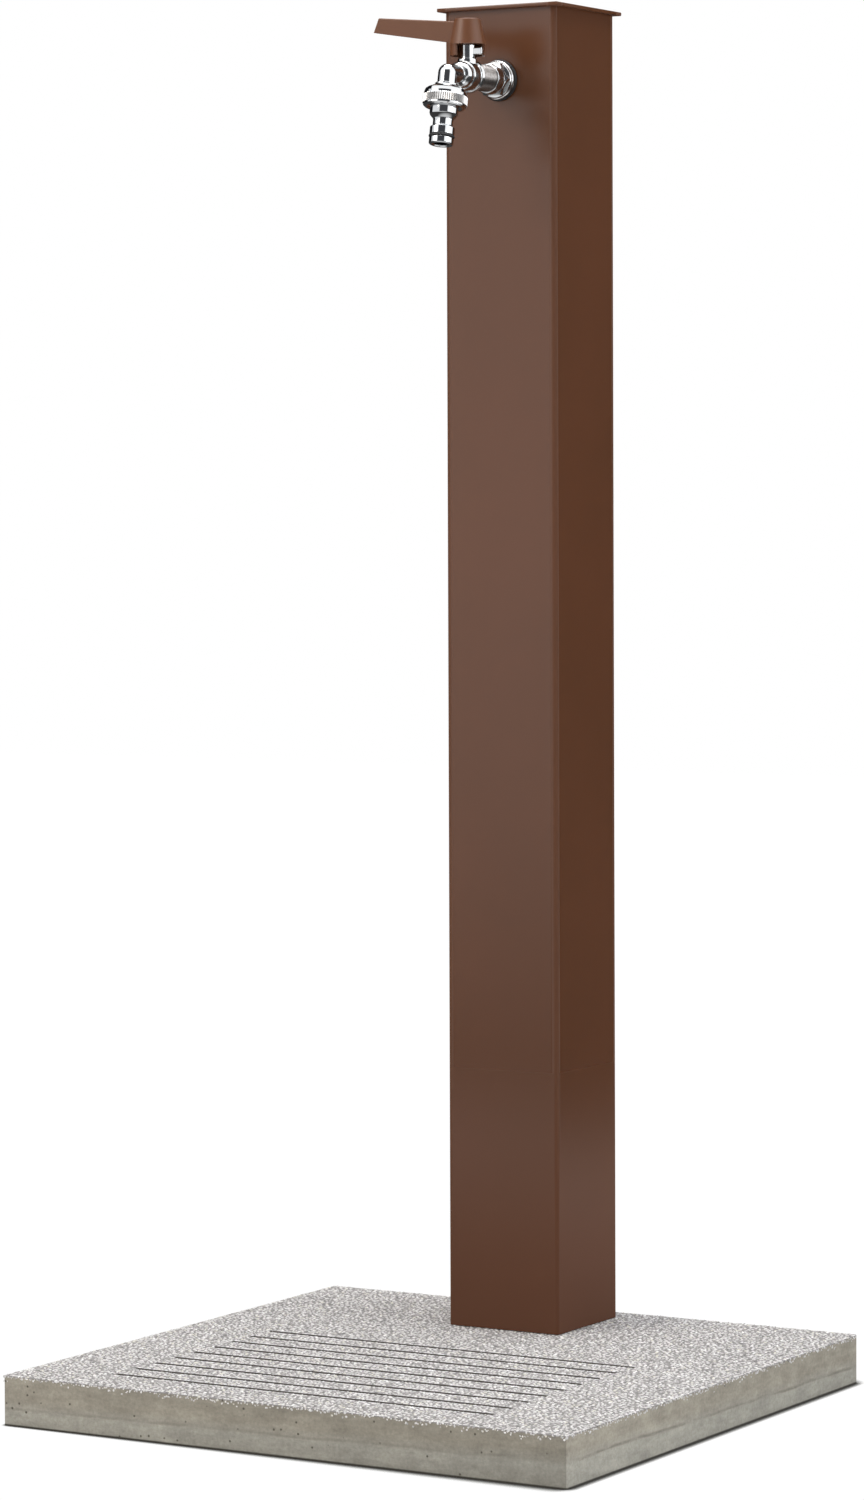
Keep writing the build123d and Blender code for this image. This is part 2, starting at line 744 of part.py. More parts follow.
arm = arm_block(arm_root_reach, 0, 0)
arm_pocket = arm_block(pocket_root_reach, cut_overrun, arm_wall)
lug_half_angle = degrees(asin(lug_width / 2 / (skirt_radius - skirt_wall)))
skirt_start = lug_half_angle + skirt_stop_angle
skirt_end = 360 - lever_turn - lug_half_angle - skirt_stop_angle
skirt_side = Vector(cos(radians(skirt_start)), sin(radians(skirt_start)), 0)
skirt_lathe = Plane(origin=stem_origin, x_dir=skirt_side, z_dir=skirt_side.cross(Vector(0, 0, 1)))
with BuildPart() as lever:
    add(arm.part)
    tip_face = lever.faces().sort_by(Axis.X)[0]
    fillet(tip_face.edges().filter_by(Axis.Y, reverse=True), radius=arm_tip_round)
    fillet(lever.faces().sort_by(Axis.Z)[-1].edges(), radius=arm_edge_round)
    add(arm_pocket.part, mode=Mode.SUBTRACT)
    hub_profile = outline(
        stem_lathe,
        (0, hub_bottom),
        (hub_bottom_radius, hub_bottom),
        (hub_top_radius, hub_top),
        (0, hub_top),
    )
    revolve(hub_profile, axis=stem_axis)
    fillet(round_edges(lever, hub_top_radius), radius=hub_edge_round)
    skirt_profile = outline(
        skirt_lathe,
        (skirt_radius - skirt_wall, skirt_bottom),
        (skirt_radius, skirt_bottom),
        (skirt_radius, hub_bottom + hub_edge_round),
        (skirt_radius - skirt_wall, hub_bottom + hub_edge_round),
    )
    revolve(skirt_profile, axis=stem_axis, revolution_arc=skirt_end - skirt_start)
    with BuildSketch(across(stem_lathe, hub_bottom)):
        square_hole = stem_square + 2 * sliding_gap
        Circle(stem_radius + sliding_gap)
        Rectangle(square_hole, square_hole, mode=Mode.INTERSECT)
    extrude(amount=stem_top + sliding_gap - hub_bottom, mode=Mode.SUBTRACT)
    with BuildSketch(across(stem_lathe, hub_bottom)):
        Circle(screw_radius + running_gap)
    extrude(amount=hub_top - hub_bottom, mode=Mode.SUBTRACT)
    with BuildSketch(across(stem_lathe, screw_seat)):
        Circle(screw_pocket_radius)
    extrude(amount=screw_pocket_depth, mode=Mode.SUBTRACT)
save(lever, "lever")

# Screw that holds the lever on the stem
with BuildPart() as lever_screw:
    with BuildSketch(across(stem_lathe, screw_seat)):
        Circle(screw_head_radius)
    extrude(amount=screw_head_height)
    with BuildSketch(across(stem_lathe, screw_seat)):
        Circle(screw_radius)
    extrude(amount=-screw_length)
    with BuildSketch(across(stem_lathe, screw_seat + screw_head_height)):
        RegularPolygon(screw_socket_across / 2, 6, major_radius=False)
    extrude(amount=-screw_socket_depth, mode=Mode.SUBTRACT)
save(lever_screw, "lever_screw")

# End cap: screws into the body's front, with a smooth band, a rounded shoulder and a socket
spout_socket_radius = spout_radius + sliding_gap
with BuildPart() as end_cap:
    with BuildSketch(tap_lathe):
        with BuildLine():
            Polyline(
                (cap_nose_radius, cap_front),
                (spout_socket_radius, cap_front),
                (spout_socket_radius, spout_socket_end),
                (seat_bore_radius, spout_socket_end),
                (seat_bore_radius, plug_rear),
                (cavity_radius - sliding_gap, plug_rear),
                (cavity_radius - sliding_gap, body_front),
                (cap_band_radius, body_front),
                (cap_band_radius, cap_band_front),
            )
            ThreePointArc(
                (cap_band_radius, cap_band_front),
                (cap_shoulder_middle_radius, cap_band_front + cap_shoulder_middle_length),
                (cap_nose_radius, cap_front),
            )
        make_face()
    revolve(axis=tap_axis)
save(end_cap, "end_cap")

# Spout: short tail in the end cap, a domed elbow, and a leaning tube with its thread
spout_tail = spout_socket_end + sliding_gap
with BuildPart() as spout:
    with BuildSketch(across(tap_lathe, spout_tail)):
        Circle(spout_radius)
    extrude(amount=spout_reach - spout_tail)
    with Locations(spout_origin):
        Sphere(spout_dome_radius)
    spout_profile = outline(
        spout_lathe,
        (0, 0),
        (spout_radius, 0),
        (spout_radius, spout_ring_top),
        (spout_ring_radius, spout_ring_top),
        (spout_ring_radius, spout_ring_end),
        (spout_thread_radius, spout_cone_end),
        (spout_thread_radius, spout_end),
        (0, spout_end),
    )
    revolve(spout_profile, axis=spout_axis)
    with BuildSketch(across(tap_lathe, spout_tail)):
        Circle(spout_bore_radius)
    extrude(amount=spout_reach - spout_tail, mode=Mode.SUBTRACT)
    with BuildSketch(across(spout_lathe, 0)):
        Circle(spout_bore_radius)
    extrude(amount=spout_end, mode=Mode.SUBTRACT)
    with BuildSketch(across(spout_lathe, spout_end)):
        Circle(spout_mouth_radius)
    extrude(amount=-spout_mouth_depth, mode=Mode.SUBTRACT)
save(spout, "spout")

# Swivel nut: knurled, threaded inside, with an inner flange that holds the nose
nut_hole_radius = nose_body_radius + running_gap
with BuildPart() as hose_nut:
    nut_profile = outline(
        spout_lathe,
        (nut_bore_radius, nut_top),
        (nut_top_radius, nut_top),
        (nut_band_radius, nut_cone_end),
        (nut_band_radius, knurl_top),
        (knurl_radius, knurl_top),
        (knurl_radius, knurl_end),
        (nut_band_radius, knurl_end),
        (nut_band_radius, nut_lip_end),
        (nut_end_radius, nut_end),
        (nut_mouth_radius, nut_end),
        (nut_hole_radius, nut_end - nut_mouth_depth),
        (nut_hole_radius, nut_seat),
        (nut_bore_radius, nut_seat),
    )
    revolve(nut_profile, axis=spout_axis)
    with BuildSketch(across(spout_lathe, knurl_top)):
        with PolarLocations(knurl_radius, knurl_count):
            RegularPolygon(knurl_size, 4)
    extrude(amount=knurl_height, mode=Mode.SUBTRACT)
save(hose_nut, "hose_nut")

# Flat washer between the spout's end and the nose
with BuildPart() as connector_washer:
    with BuildSketch(across(spout_lathe, spout_end)):
        Circle(nose_flange_radius)
        Circle(connector_washer_hole_radius, mode=Mode.SUBTRACT)
    extrude(amount=connector_washer_thickness)
save(connector_washer, "connector_washer")

# Nose: the turned spigot that the hose's click coupling goes on
with BuildPart() as hose_nose:
    nose_profile = outline(
        spout_lathe,
        (nose_bore_radius, nose_top),
        (nose_flange_radius, nose_top),
        (nose_flange_radius, nose_flange_end),
        (nose_body_radius, nose_flange_end),
        (nose_body_radius, nose_body_end),
        (nose_neck_radius, nose_taper_end),
        (nose_neck_radius, nose_neck_end),
        (nose_collar_radius, nose_collar_start),
        (nose_collar_radius, nose_collar_end),
        (nose_groove_radius, nose_collar_end),
        (nose_groove_radius, nose_groove_end),
        (nose_tip_radius, nose_groove_end),
        (nose_tip_radius, nose_tip_end - nose_tip_round),
        (nose_tip_radius - nose_tip_round, nose_tip_end),
        (nose_mouth_radius, nose_tip_end),
        (nose_bore_radius, nose_tip_end - nose_mouth_depth),
    )
    revolve(nose_profile, axis=spout_axis)
save(hose_nose, "hose_nose")

# Rubber ring in the nose's groove
with BuildPart() as nose_ring:
    with BuildSketch(spout_lathe):
        ring_middle = (nose_collar_end + nose_groove_end) / 2
        with Locations((nose_groove_radius + nose_ring_wire_radius, ring_middle)):
            Circle(nose_ring_wire_radius)
    revolve(axis=spout_axis)
save(nose_ring, "nose_ring")
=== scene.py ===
import json
import random
from math import atan2, cos, pi, radians, sin

import bpy
from mathutils import Matrix, Quaternion, Vector


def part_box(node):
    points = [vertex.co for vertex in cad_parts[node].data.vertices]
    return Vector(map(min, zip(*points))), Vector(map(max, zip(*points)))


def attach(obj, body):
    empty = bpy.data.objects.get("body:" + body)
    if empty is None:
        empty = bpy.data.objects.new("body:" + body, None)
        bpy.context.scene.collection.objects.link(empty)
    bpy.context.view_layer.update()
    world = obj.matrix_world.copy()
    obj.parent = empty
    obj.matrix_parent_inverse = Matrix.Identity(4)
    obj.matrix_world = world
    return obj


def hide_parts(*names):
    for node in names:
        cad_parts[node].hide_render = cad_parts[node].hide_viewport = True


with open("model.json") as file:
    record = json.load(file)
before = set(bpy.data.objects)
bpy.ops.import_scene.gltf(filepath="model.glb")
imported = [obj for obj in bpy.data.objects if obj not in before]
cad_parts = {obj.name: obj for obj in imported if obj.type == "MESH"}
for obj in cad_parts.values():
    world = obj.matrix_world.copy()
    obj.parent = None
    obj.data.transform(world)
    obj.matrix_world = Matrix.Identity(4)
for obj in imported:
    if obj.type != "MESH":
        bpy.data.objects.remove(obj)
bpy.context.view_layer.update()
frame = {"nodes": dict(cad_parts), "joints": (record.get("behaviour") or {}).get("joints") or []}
bpy.ops.object.select_all(action="DESELECT")

# Camera: a long lens at table height, 3.9 m away and to the right of the tap's front.
# Its shift sets the whole standpipe in a tall, narrow frame.
camera_place = Vector((1.94054, -3.37027, 0.72384))
camera_right = Vector((0.85601454, 0.51693562, -0.00408327))
camera_up = Vector((-0.01069897, 0.02561279, 0.99961468))
camera_back = camera_right.cross(camera_up)
picture_wide, picture_tall = 864, 1500
focal_pixels = 4895.5
axis_pixel_x, axis_pixel_y = 335.2, 630.9

camera_data = bpy.data.cameras.new("camera")
camera_data.sensor_fit = "AUTO"
camera_data.sensor_width = 36.0
camera_data.lens = focal_pixels * camera_data.sensor_width / picture_tall
camera_data.shift_x = (picture_wide / 2 - axis_pixel_x) / picture_tall
camera_data.shift_y = (axis_pixel_y - picture_tall / 2) / picture_tall
camera_data.clip_end = 50
camera = bpy.data.objects.new("camera", camera_data)
bpy.context.collection.objects.link(camera)
camera_turn = Matrix((camera_right, camera_up, camera_back)).transposed()
camera.matrix_world = Matrix.Translation(camera_place) @ camera_turn.to_4x4()
bpy.context.scene.camera = camera

# Studio: a sweep of pale paper under an even pale sky, a large soft lamp at the left, a
# weaker one at the right and one overhead. What metal mirrors is a studio's white panels
# with the dark gaps between them.
ambient_strength = 0.42
panel_strength = 1.7
gap_edge = radians(2.5)


def linear(colour):
    """An sRGB hex colour as the linear colour that a shader takes."""
    parts = [int(colour[i:i + 2], 16) / 255 for i in (1, 3, 5)]
    parts = [p / 12.92 if p <= 0.04045 else ((p + 0.055) / 1.055) ** 2.4 for p in parts]
    return (*parts, 1.0)


def add_node(tree, kind, settings=None, values=None, links=None, stops=()):
    """Adds a node with its settings, free sockets' values, links and a ramp's stops."""
    new = tree.nodes.new(kind)
    for name, value in (settings or {}).items():
        setattr(new, name, value)
    for name, value in (values or {}).items():
        new.inputs[name].default_value = value
    for name, (source, output) in (links or {}).items():
        tree.links.new(source.outputs[output], new.inputs[name])
    for k, (share, colour) in enumerate(stops):
        ramp = new.color_ramp.elements
        stop = ramp[k] if k < 2 else ramp.new(share)
        stop.position = share
        stop.color = colour
    return new


world = bpy.data.worlds.new("studio")
world.use_nodes = True
bpy.context.scene.world = world
sky = world.node_tree
sky.nodes.clear()
direction = add_node(sky, "ShaderNodeTexCoord")
turn_to_camera = atan2(camera_place.y, camera_place.x)
turned_sky = add_node(
    sky, "ShaderNodeVectorRotate", {"rotation_type": "Z_AXIS"}, {"Angle": -turn_to_camera},
    {"Vector": (direction, "Generated")},
)
split = add_node(sky, "ShaderNodeSeparateXYZ", links={"Vector": (turned_sky, 0)})
azimuth = add_node(
    sky, "ShaderNodeMath", {"operation": "ARCTAN2"}, links={0: (split, "Y"), 1: (split, "X")}
)
height = add_node(sky, "ShaderNodeMath", {"operation": "ARCSINE"}, links={0: (split, "Z")})


def sky_patch(left, right, bottom, top):
    """1 inside four angles in degrees, from the camera's side, and 0 outside them."""
    patch = None
    for angle, edge, side in (
        (azimuth, left, -1), (azimuth, right, 1), (height, bottom, -1), (height, top, 1),
    ):
        inside = add_node(
            sky, "ShaderNodeMapRange", {"interpolation_type": "SMOOTHSTEP"},
            {
                "From Min": radians(edge) + side * gap_edge,
                "From Max": radians(edge) - side * gap_edge,
            },
            {"Value": (angle, 0)},
        )
        if patch:
            inside = add_node(
                sky, "ShaderNodeMath", {"operation": "MULTIPLY"},
                links={0: (patch, 0), 1: (inside, 0)},
            )
        patch = inside
    return patch


left_panel = sky_patch(-106, -38, -30, 30)
behind_left = sky_patch(-200, -106, -100, 58)
behind_right = sky_patch(109.5, 200, -100, 58)
front_gap = sky_patch(-38, 30, -20, 42)
mirrored = None
for colour, patch in (
    ("#DCDDDE", left_panel), ("#141517", behind_left), ("#141517", behind_right),
    ("#3E3F42", front_gap),
):
    below = {6: (mirrored, 2)} if mirrored else {}
    mirrored = add_node(
        sky, "ShaderNodeMix", {"data_type": "RGBA"},
        {6: linear("#FFFFFF"), 7: linear(colour)}, {0: (patch, 0), **below},
    )

path = add_node(sky, "ShaderNodeLightPath")
ambient = add_node(
    sky, "ShaderNodeBackground",
    values={"Color": linear("#F6F8FF"), "Strength": ambient_strength},
)
white = add_node(
    sky, "ShaderNodeBackground", values={"Color": linear("#FFFFFF"), "Strength": 1.0}
)
panels = add_node(
    sky, "ShaderNodeBackground", values={"Strength": panel_strength},
    links={"Color": (mirrored, 2)},
)
glossy_or_ambient = add_node(
    sky, "ShaderNodeMixShader",
    links={0: (path, "Is Glossy Ray"), 1: (ambient, 0), 2: (panels, 0)},
)
through = add_node(
    sky, "ShaderNodeMath", {"operation": "MAXIMUM"},
    links={0: (path, "Is Camera Ray"), 1: (path, "Is Transmission Ray")},
)
seen = add_node(
    sky, "ShaderNodeMixShader", links={0: (through, 0), 1: (glossy_or_ambient, 0), 2: (white, 0)}
)
add_node(sky, "ShaderNodeOutputWorld", links={"Surface": (seen, 0)})


def soft_lamp(name, place, aim, size, watts, colour):
    """A square area lamp that looks at a point."""
    data = bpy.data.lights.new(name, "AREA")
    data.shape = "SQUARE"
    data.size = size
    data.energy = watts
    data.color = linear(colour)[:3]
    lamp = bpy.data.objects.new(name, data)
    bpy.context.collection.objects.link(lamp)
    lamp.location = place
    lamp.rotation_euler = (Vector(aim) - Vector(place)).to_track_quat("-Z", "Y").to_euler()


soft_lamp("lamp_left", (-1.2, -1.85, 2.55), (0, 0, 0.9), 1.3, 36, "#FFF6EC")
soft_lamp("lamp_right", (2.75, 0.25, 1.5), (0, 0, 0.3), 1.4, 14, "#F4F8FF")
soft_lamp("lamp_top", (0.2, 0.2, 3.4), (0, 0, 0), 2.2, 96, "#FAFBFF")

# The floor's paper is matt and white. For gloss it glows, as painted light: bright under
# the object, dim beyond, and bright again on the sweep in front. The eye sees it white,
# with a thin painted contact shadow. The shadow's reach grows from the slab's left side
# to its right, in shares of the longest.
floor_width = 16
bright_floor_end, dim_floor_start = 0.5, 1.1
dim_floor_light = 0.06
sweep_glow_start, sweep_glow_end = -1.6, -3.4
sweep_glow_light = 1.1
seen_floor_light = 1.02
shadow_longest = 0.02
shadow_shares = ((-0.25, 0.25), (0.245, 0.9), (0.257, 0.4))
ramp_middle = 0.5

bpy.ops.mesh.primitive_plane_add(size=floor_width)
floor = bpy.context.object
floor.name = "floor"
floor_paper = bpy.data.materials.new("floor_paper")
floor_paper.use_nodes = True
tree = floor_paper.node_tree
tree.nodes.clear()
path = add_node(tree, "ShaderNodeLightPath")
place = add_node(tree, "ShaderNodeTexCoord")
far = add_node(
    tree, "ShaderNodeVectorMath", {"operation": "LENGTH"}, links={0: (place, "Object")}
)
mirrored_light = add_node(
    tree, "ShaderNodeMapRange", {"interpolation_type": "SMOOTHSTEP"},
    {
        "From Min": bright_floor_end, "From Max": dim_floor_start,
        "To Min": 1.0, "To Max": dim_floor_light,
    },
    {"Value": (far, "Value")},
)
across = add_node(tree, "ShaderNodeSeparateXYZ", links={"Vector": (place, "Object")})
# Painted light: the sweep in front glows for gloss.
glowing_sweep = add_node(
    tree, "ShaderNodeMapRange", {"interpolation_type": "SMOOTHSTEP"},
    {"From Min": sweep_glow_start, "From Max": sweep_glow_end, "To Max": sweep_glow_light},
    {"Value": (across, "Y")},
)
floor_light = add_node(
    tree, "ShaderNodeMath", {"operation": "MAXIMUM"},
    links={0: (mirrored_light, 0), 1: (glowing_sweep, 0)},
)
from_left = add_node(
    tree, "ShaderNodeMath", {"operation": "ADD"}, {1: ramp_middle}, {0: (across, "X")}
)
shadow_width = add_node(
    tree, "ShaderNodeValToRGB", links={"Fac": (from_left, 0)},
    stops=[(x + ramp_middle, (share, share, share, 1)) for x, share in shadow_shares],
)
shadow_reach = add_node(
    tree, "ShaderNodeMath", {"operation": "MULTIPLY"}, {1: shadow_longest}, {0: (shadow_width, 0)}
)
open_sky = add_node(
    tree, "ShaderNodeAmbientOcclusion", {"samples": 16}, links={"Distance": (shadow_reach, 0)}
)
contact = add_node(
    tree, "ShaderNodeValToRGB", links={"Fac": (open_sky, "AO")},
    stops=(
        (0.5, linear("#2E2D2B")), (0.66, linear("#73726F")), (0.8, linear("#C8C8C6")),
        (0.93, linear("#FFFFFF")),
    ),
)
paper = add_node(tree, "ShaderNodeBsdfDiffuse", values={"Color": linear("#F2F2F2")})
shown = add_node(
    tree, "ShaderNodeEmission", values={"Strength": seen_floor_light},
    links={"Color": (contact, 0)},
)
shine = add_node(tree, "ShaderNodeEmission", links={"Strength": (floor_light, 0)})
lit = add_node(
    tree, "ShaderNodeMixShader", links={0: (path, "Is Glossy Ray"), 1: (paper, 0), 2: (shine, 0)}
)
both = add_node(
    tree, "ShaderNodeMixShader", links={0: (path, "Is Camera Ray"), 1: (lit, 0), 2: (shown, 0)}
)
add_node(tree, "ShaderNodeOutputMaterial", links={"Surface": (both, 0)})
floor.data.materials.append(floor_paper)
floor.select_set(False)

bpy.context.scene.view_settings.view_transform = "Standard"

# Slab: a concrete paving slab, cast as a plain backing and a face with its cement washed
# off the grit. Splash grooves are pressed in its face, and it is drilled from below for
# the pipe and the column's four bolts. One corner has worn round.
mm = 0.001
slab_low, slab_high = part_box("base_slab")
slab_size = slab_high - slab_low
slab_middle = (slab_low + slab_high) / 2
grit_depth = 0.8 * mm
side_inset = 0.5 * mm
corner_radius = 1.6 * mm
worn_corner_radius = 5 * mm
column_low, column_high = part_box("column")
column_middle = (column_low + column_high) / 2
inlet_low, inlet_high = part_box("inlet_coupling")
inlet_middle = (inlet_low + inlet_high) / 2
bolts_low, bolts_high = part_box("bolt_washers")
washer_radius = 12 * mm
pipe_hole_radius = 20 * mm
pocket_radius = 13.5 * mm
pocket_depth = 12 * mm
bolt_hole_radius = 4.5 * mm
groove_rows = 9
groove_pitch = 28.3 * mm
groove_length = 338 * mm
groove_width = 4.4 * mm
groove_depth = 5 * mm
groove_middle_x = -7.5 * mm
first_groove_y = column_low.y - 98 * mm
groove_ys = [first_groove_y - row * groove_pitch for row in range(groove_rows)]


def keep_selected(piece):
    """Makes one object the only selected and the active one."""
    bpy.ops.object.select_all(action="DESELECT")
    piece.select_set(True)
    bpy.context.view_layer.objects.active = piece


def cut(piece, cutters, operation="DIFFERENCE"):
    """Cuts the joined cutters out of a piece, or keeps only what it shares with them."""
    keep_selected(cutters[0])
    for cutter in cutters:
        cutter.select_set(True)
    if len(cutters) > 1:
        bpy.ops.object.join()
    tool = bpy.context.object
    bpy.ops.object.transform_apply(location=True, rotation=True, scale=True)
    boolean = piece.modifiers.new("cut", "BOOLEAN")
    boolean.operation = operation
    boolean.solver = "EXACT"
    boolean.object = tool
    keep_selected(piece)
    bpy.ops.object.modifier_apply(modifier=boolean.name)
    bpy.data.objects.remove(tool)


bpy.ops.mesh.primitive_cube_add(size=1, location=slab_middle - Vector((0, 0, grit_depth / 2)))
slab_block = bpy.context.object
slab_block.name = "slab_block"
slab_block.scale = slab_size - Vector((2 * side_inset, 2 * side_inset, grit_depth))
bpy.ops.object.transform_apply(location=True, rotation=True, scale=True)
# The worn corner is rounded first, and then the three crisp ones.
for worn, radius, rounds in ((True, worn_corner_radius, 8), (False, corner_radius, 3)):
    bpy.ops.object.mode_set(mode="EDIT")
    bpy.ops.mesh.select_mode(type="EDGE")
    bpy.ops.mesh.select_all(action="DESELECT")
    bpy.ops.object.mode_set(mode="OBJECT")
    for edge in slab_block.data.edges:
        foot, top = [slab_block.data.vertices[i].co for i in edge.vertices]
        upright = abs(foot.z - top.z) > slab_size.z / 2
        edge.select = upright and (foot.x > 0 and foot.y > 0) == worn
    bpy.ops.object.mode_set(mode="EDIT")
    bpy.ops.mesh.bevel(offset=radius, segments=rounds, profile=0.5, affect="EDGES")
    bpy.ops.mesh.select_mode(type="VERT")
    bpy.ops.object.mode_set(mode="OBJECT")


def drill(place, radius, reach, sides):
    """A drill that reaches up from the slab's underside at a place (x, y)."""
    bpy.ops.mesh.primitive_cylinder_add(
        vertices=sides, radius=radius, depth=2 * reach, location=(*place, 0)
    )
    return bpy.context.object


bolt_places = [
    (x, y)
    for x in (bolts_low.x + washer_radius, bolts_high.x - washer_radius)
    for y in (bolts_low.y + washer_radius, bolts_high.y - washer_radius)
]
right_through = 2 * slab_size.z
cutters = []
for groove_y in groove_ys:
    bpy.ops.mesh.primitive_cube_add(size=1, location=(groove_middle_x, groove_y, slab_high.z))
    groove = bpy.context.object
    groove.scale = (groove_length, groove_width, 2 * groove_depth)
    cutters.append(groove)
cutters.append(drill(inlet_middle.xy, pipe_hole_radius, right_through, 64))
cutters.extend(drill(bolt, pocket_radius, pocket_depth, 48) for bolt in bolt_places)
cut(slab_block, cutters)
cut(slab_block, [drill(bolt, bolt_hole_radius, right_through, 32) for bolt in bolt_places])


def new_finish(name, sockets):
    """A new material with values on its shader: returns it, its tree, shader and place."""
    material = bpy.data.materials.new(name)
    material.use_nodes = True
    tree = material.node_tree
    shader = tree.nodes["Principled BSDF"]
    for socket, value in sockets.items():
        shader.inputs[socket].default_value = value
    return material, tree, shader, add_node(tree, "ShaderNodeTexCoord")


def shade_by(tree, colour, pattern, low, high, dark, light):
    """Scales a colour, from dark where a pattern is low to light where it is high."""
    tone = add_node(
        tree, "ShaderNodeMapRange",
        values={"From Min": low, "From Max": high, "To Min": dark, "To Max": light},
        links={"Value": pattern},
    )
    return add_node(
        tree, "ShaderNodeVectorMath", {"operation": "SCALE"},
        links={0: colour, "Scale": (tone, 0)},
    )


# Cast concrete is matt and greyish straw, clouded, and streaked along its layers. The
# backing and the face meet in a broken dark seam that sinks a little towards the far
# corners. Air pits show here and there, painted dark as the shade inside them. Painted
# shade darkens the slab from left to right and its right side from near to far, and its
# lowest 2 mm are painted dark as the shade under its bottom edge. The cement between the
# face's stones is a darker grey, partly its own colour and partly painted shade between
# the stones. The fine grain and the pits are drawn coarser than life, so that they show.
layer_wave = 62.5 * mm
layer_wobble = 6 * mm
layer_slope = (-0.014, 0.014, 1)
backing_end, face_start = 11.5 * mm, 25.5 * mm
seam_start, seam_full = 14.7 * mm, 16.3 * mm
seam_fades, seam_end = 16.5 * mm, 18.7 * mm
seam_breaks, seam_holds = 0.4, 0.56
seam_darkness = 0.75
seam_on_front, seam_on_side = 0.42, 0.75
# Tones of the painted shade across the slab's faces.
front_left_tone, front_right_tone = 1.0, 0.78
side_near_tone, side_far_tone = 1.1, 0.95
streak_length = 33.33 * mm
streak_flatness = 4.5
cloud_size = 14.29 * mm
grain_size = 2.63 * mm
pit_spacing = 6.67 * mm
pit_floor, pit_rim = 0.08, 0.2
pits_left_out = 0.72
pit_depth = 0.8 * mm
grain_relief = 0.35
top_start, top_full = 38.0 * mm, 38.9 * mm
foot_shade_full, foot_shade_end = 0.7 * mm, 1.9 * mm
side_skin = 1.2 * mm

concrete, tree, shader, place = new_finish(
    "cast_concrete", {"Roughness": 0.9, "Specular IOR Level": 0.3}
)
heights = add_node(tree, "ShaderNodeSeparateXYZ", links={"Vector": (place, "Object")})
wobble = add_node(
    tree, "ShaderNodeTexNoise", values={"Scale": 1 / layer_wave, "Detail": 3},
    links={"Vector": (place, "Object")},
)
sloped = add_node(
    tree, "ShaderNodeVectorMath", {"operation": "DOT_PRODUCT"}, {1: layer_slope},
    {0: (place, "Object")},
)
layer_height = add_node(
    tree, "ShaderNodeMath", {"operation": "MULTIPLY_ADD"}, {1: layer_wobble},
    {0: (wobble, 0), 2: (sloped, "Value")},
)
layers = add_node(
    tree, "ShaderNodeMapRange", {"interpolation_type": "SMOOTHSTEP"},
    {"From Min": backing_end, "From Max": face_start}, {"Value": (layer_height, 0)},
)
layered = add_node(
    tree, "ShaderNodeMix", {"data_type": "RGBA"}, {6: linear("#A6A397"), 7: linear("#9F998A")},
    {0: (layers, 0)},
)
stretched = add_node(
    tree, "ShaderNodeMapping", values={"Scale": (1, 1, streak_flatness)},
    links={"Vector": (place, "Object")},
)
streaks = add_node(
    tree, "ShaderNodeTexNoise",
    values={"Scale": 1 / streak_length, "Detail": 8, "Roughness": 0.68},
    links={"Vector": (stretched, 0)},
)
seam_in = add_node(
    tree, "ShaderNodeMapRange", {"interpolation_type": "SMOOTHSTEP"},
    {"From Min": seam_start, "From Max": seam_full}, {"Value": (layer_height, 0)},
)
seam_out = add_node(
    tree, "ShaderNodeMapRange", {"interpolation_type": "SMOOTHSTEP"},
    {"From Min": seam_end, "From Max": seam_fades}, {"Value": (layer_height, 0)},
)
seam_share = add_node(
    tree, "ShaderNodeMath", {"operation": "MULTIPLY"}, links={0: (seam_in, 0), 1: (seam_out, 0)}
)
seam_broken = add_node(
    tree, "ShaderNodeMapRange",
    values={"From Min": seam_breaks, "From Max": seam_holds, "To Max": seam_darkness},
    links={"Value": (streaks, 0)},
)
on_side = add_node(
    tree, "ShaderNodeMath", {"operation": "GREATER_THAN"}, {1: slab_high.x - side_skin},
    {0: (heights, "X")},
)
seam_strength = add_node(
    tree, "ShaderNodeMapRange", values={"To Min": seam_on_front, "To Max": seam_on_side},
    links={"Value": (on_side, 0)},
)
seam_seen = add_node(
    tree, "ShaderNodeMath", {"operation": "MULTIPLY"},
    links={0: (seam_broken, 0), 1: (seam_strength, 0)},
)
seam_weight = add_node(
    tree, "ShaderNodeMath", {"operation": "MULTIPLY"},
    links={0: (seam_share, 0), 1: (seam_seen, 0)},
)
banded = add_node(
    tree, "ShaderNodeMix", {"data_type": "RGBA"}, {7: linear("#5F5A4F")},
    {0: (seam_weight, 0), 6: (layered, 2)},
)
streaked = shade_by(tree, (banded, 2), (streaks, 0), 0.32, 0.68, 0.83, 1.13)
# Painted shade: the slab darkens from left to right, and its right side from its near end to its
# far end.
front_tone = add_node(
    tree, "ShaderNodeMapRange",
    values={
        "From Min": slab_low.x, "From Max": slab_high.x,
        "To Min": front_left_tone, "To Max": front_right_tone,
    },
    links={"Value": (heights, "X")},
)
side_tone = add_node(
    tree, "ShaderNodeMapRange",
    values={
        "From Min": slab_low.y, "From Max": slab_high.y,
        "To Min": side_near_tone, "To Max": side_far_tone,
    },
    links={"Value": (heights, "Y")},
)
face_tone = add_node(
    tree, "ShaderNodeMix", {"data_type": "FLOAT"},
    links={0: (on_side, 0), 2: (front_tone, 0), 3: (side_tone, 0)},
)
face_shaded = add_node(
    tree, "ShaderNodeVectorMath", {"operation": "SCALE"},
    links={0: (streaked, 0), "Scale": (face_tone, 0)},
)
clouds = add_node(
    tree, "ShaderNodeTexNoise",
    values={"Scale": 1 / cloud_size, "Detail": 4, "Roughness": 0.6},
    links={"Vector": (place, "Object")},
)
clouded = shade_by(tree, (face_shaded, 0), (clouds, 0), 0.34, 0.66, 0.9, 1.08)
on_top = add_node(
    tree, "ShaderNodeMapRange", {"interpolation_type": "SMOOTHSTEP"},
    {"From Min": top_start, "From Max": top_full}, {"Value": (heights, "Z")},
)
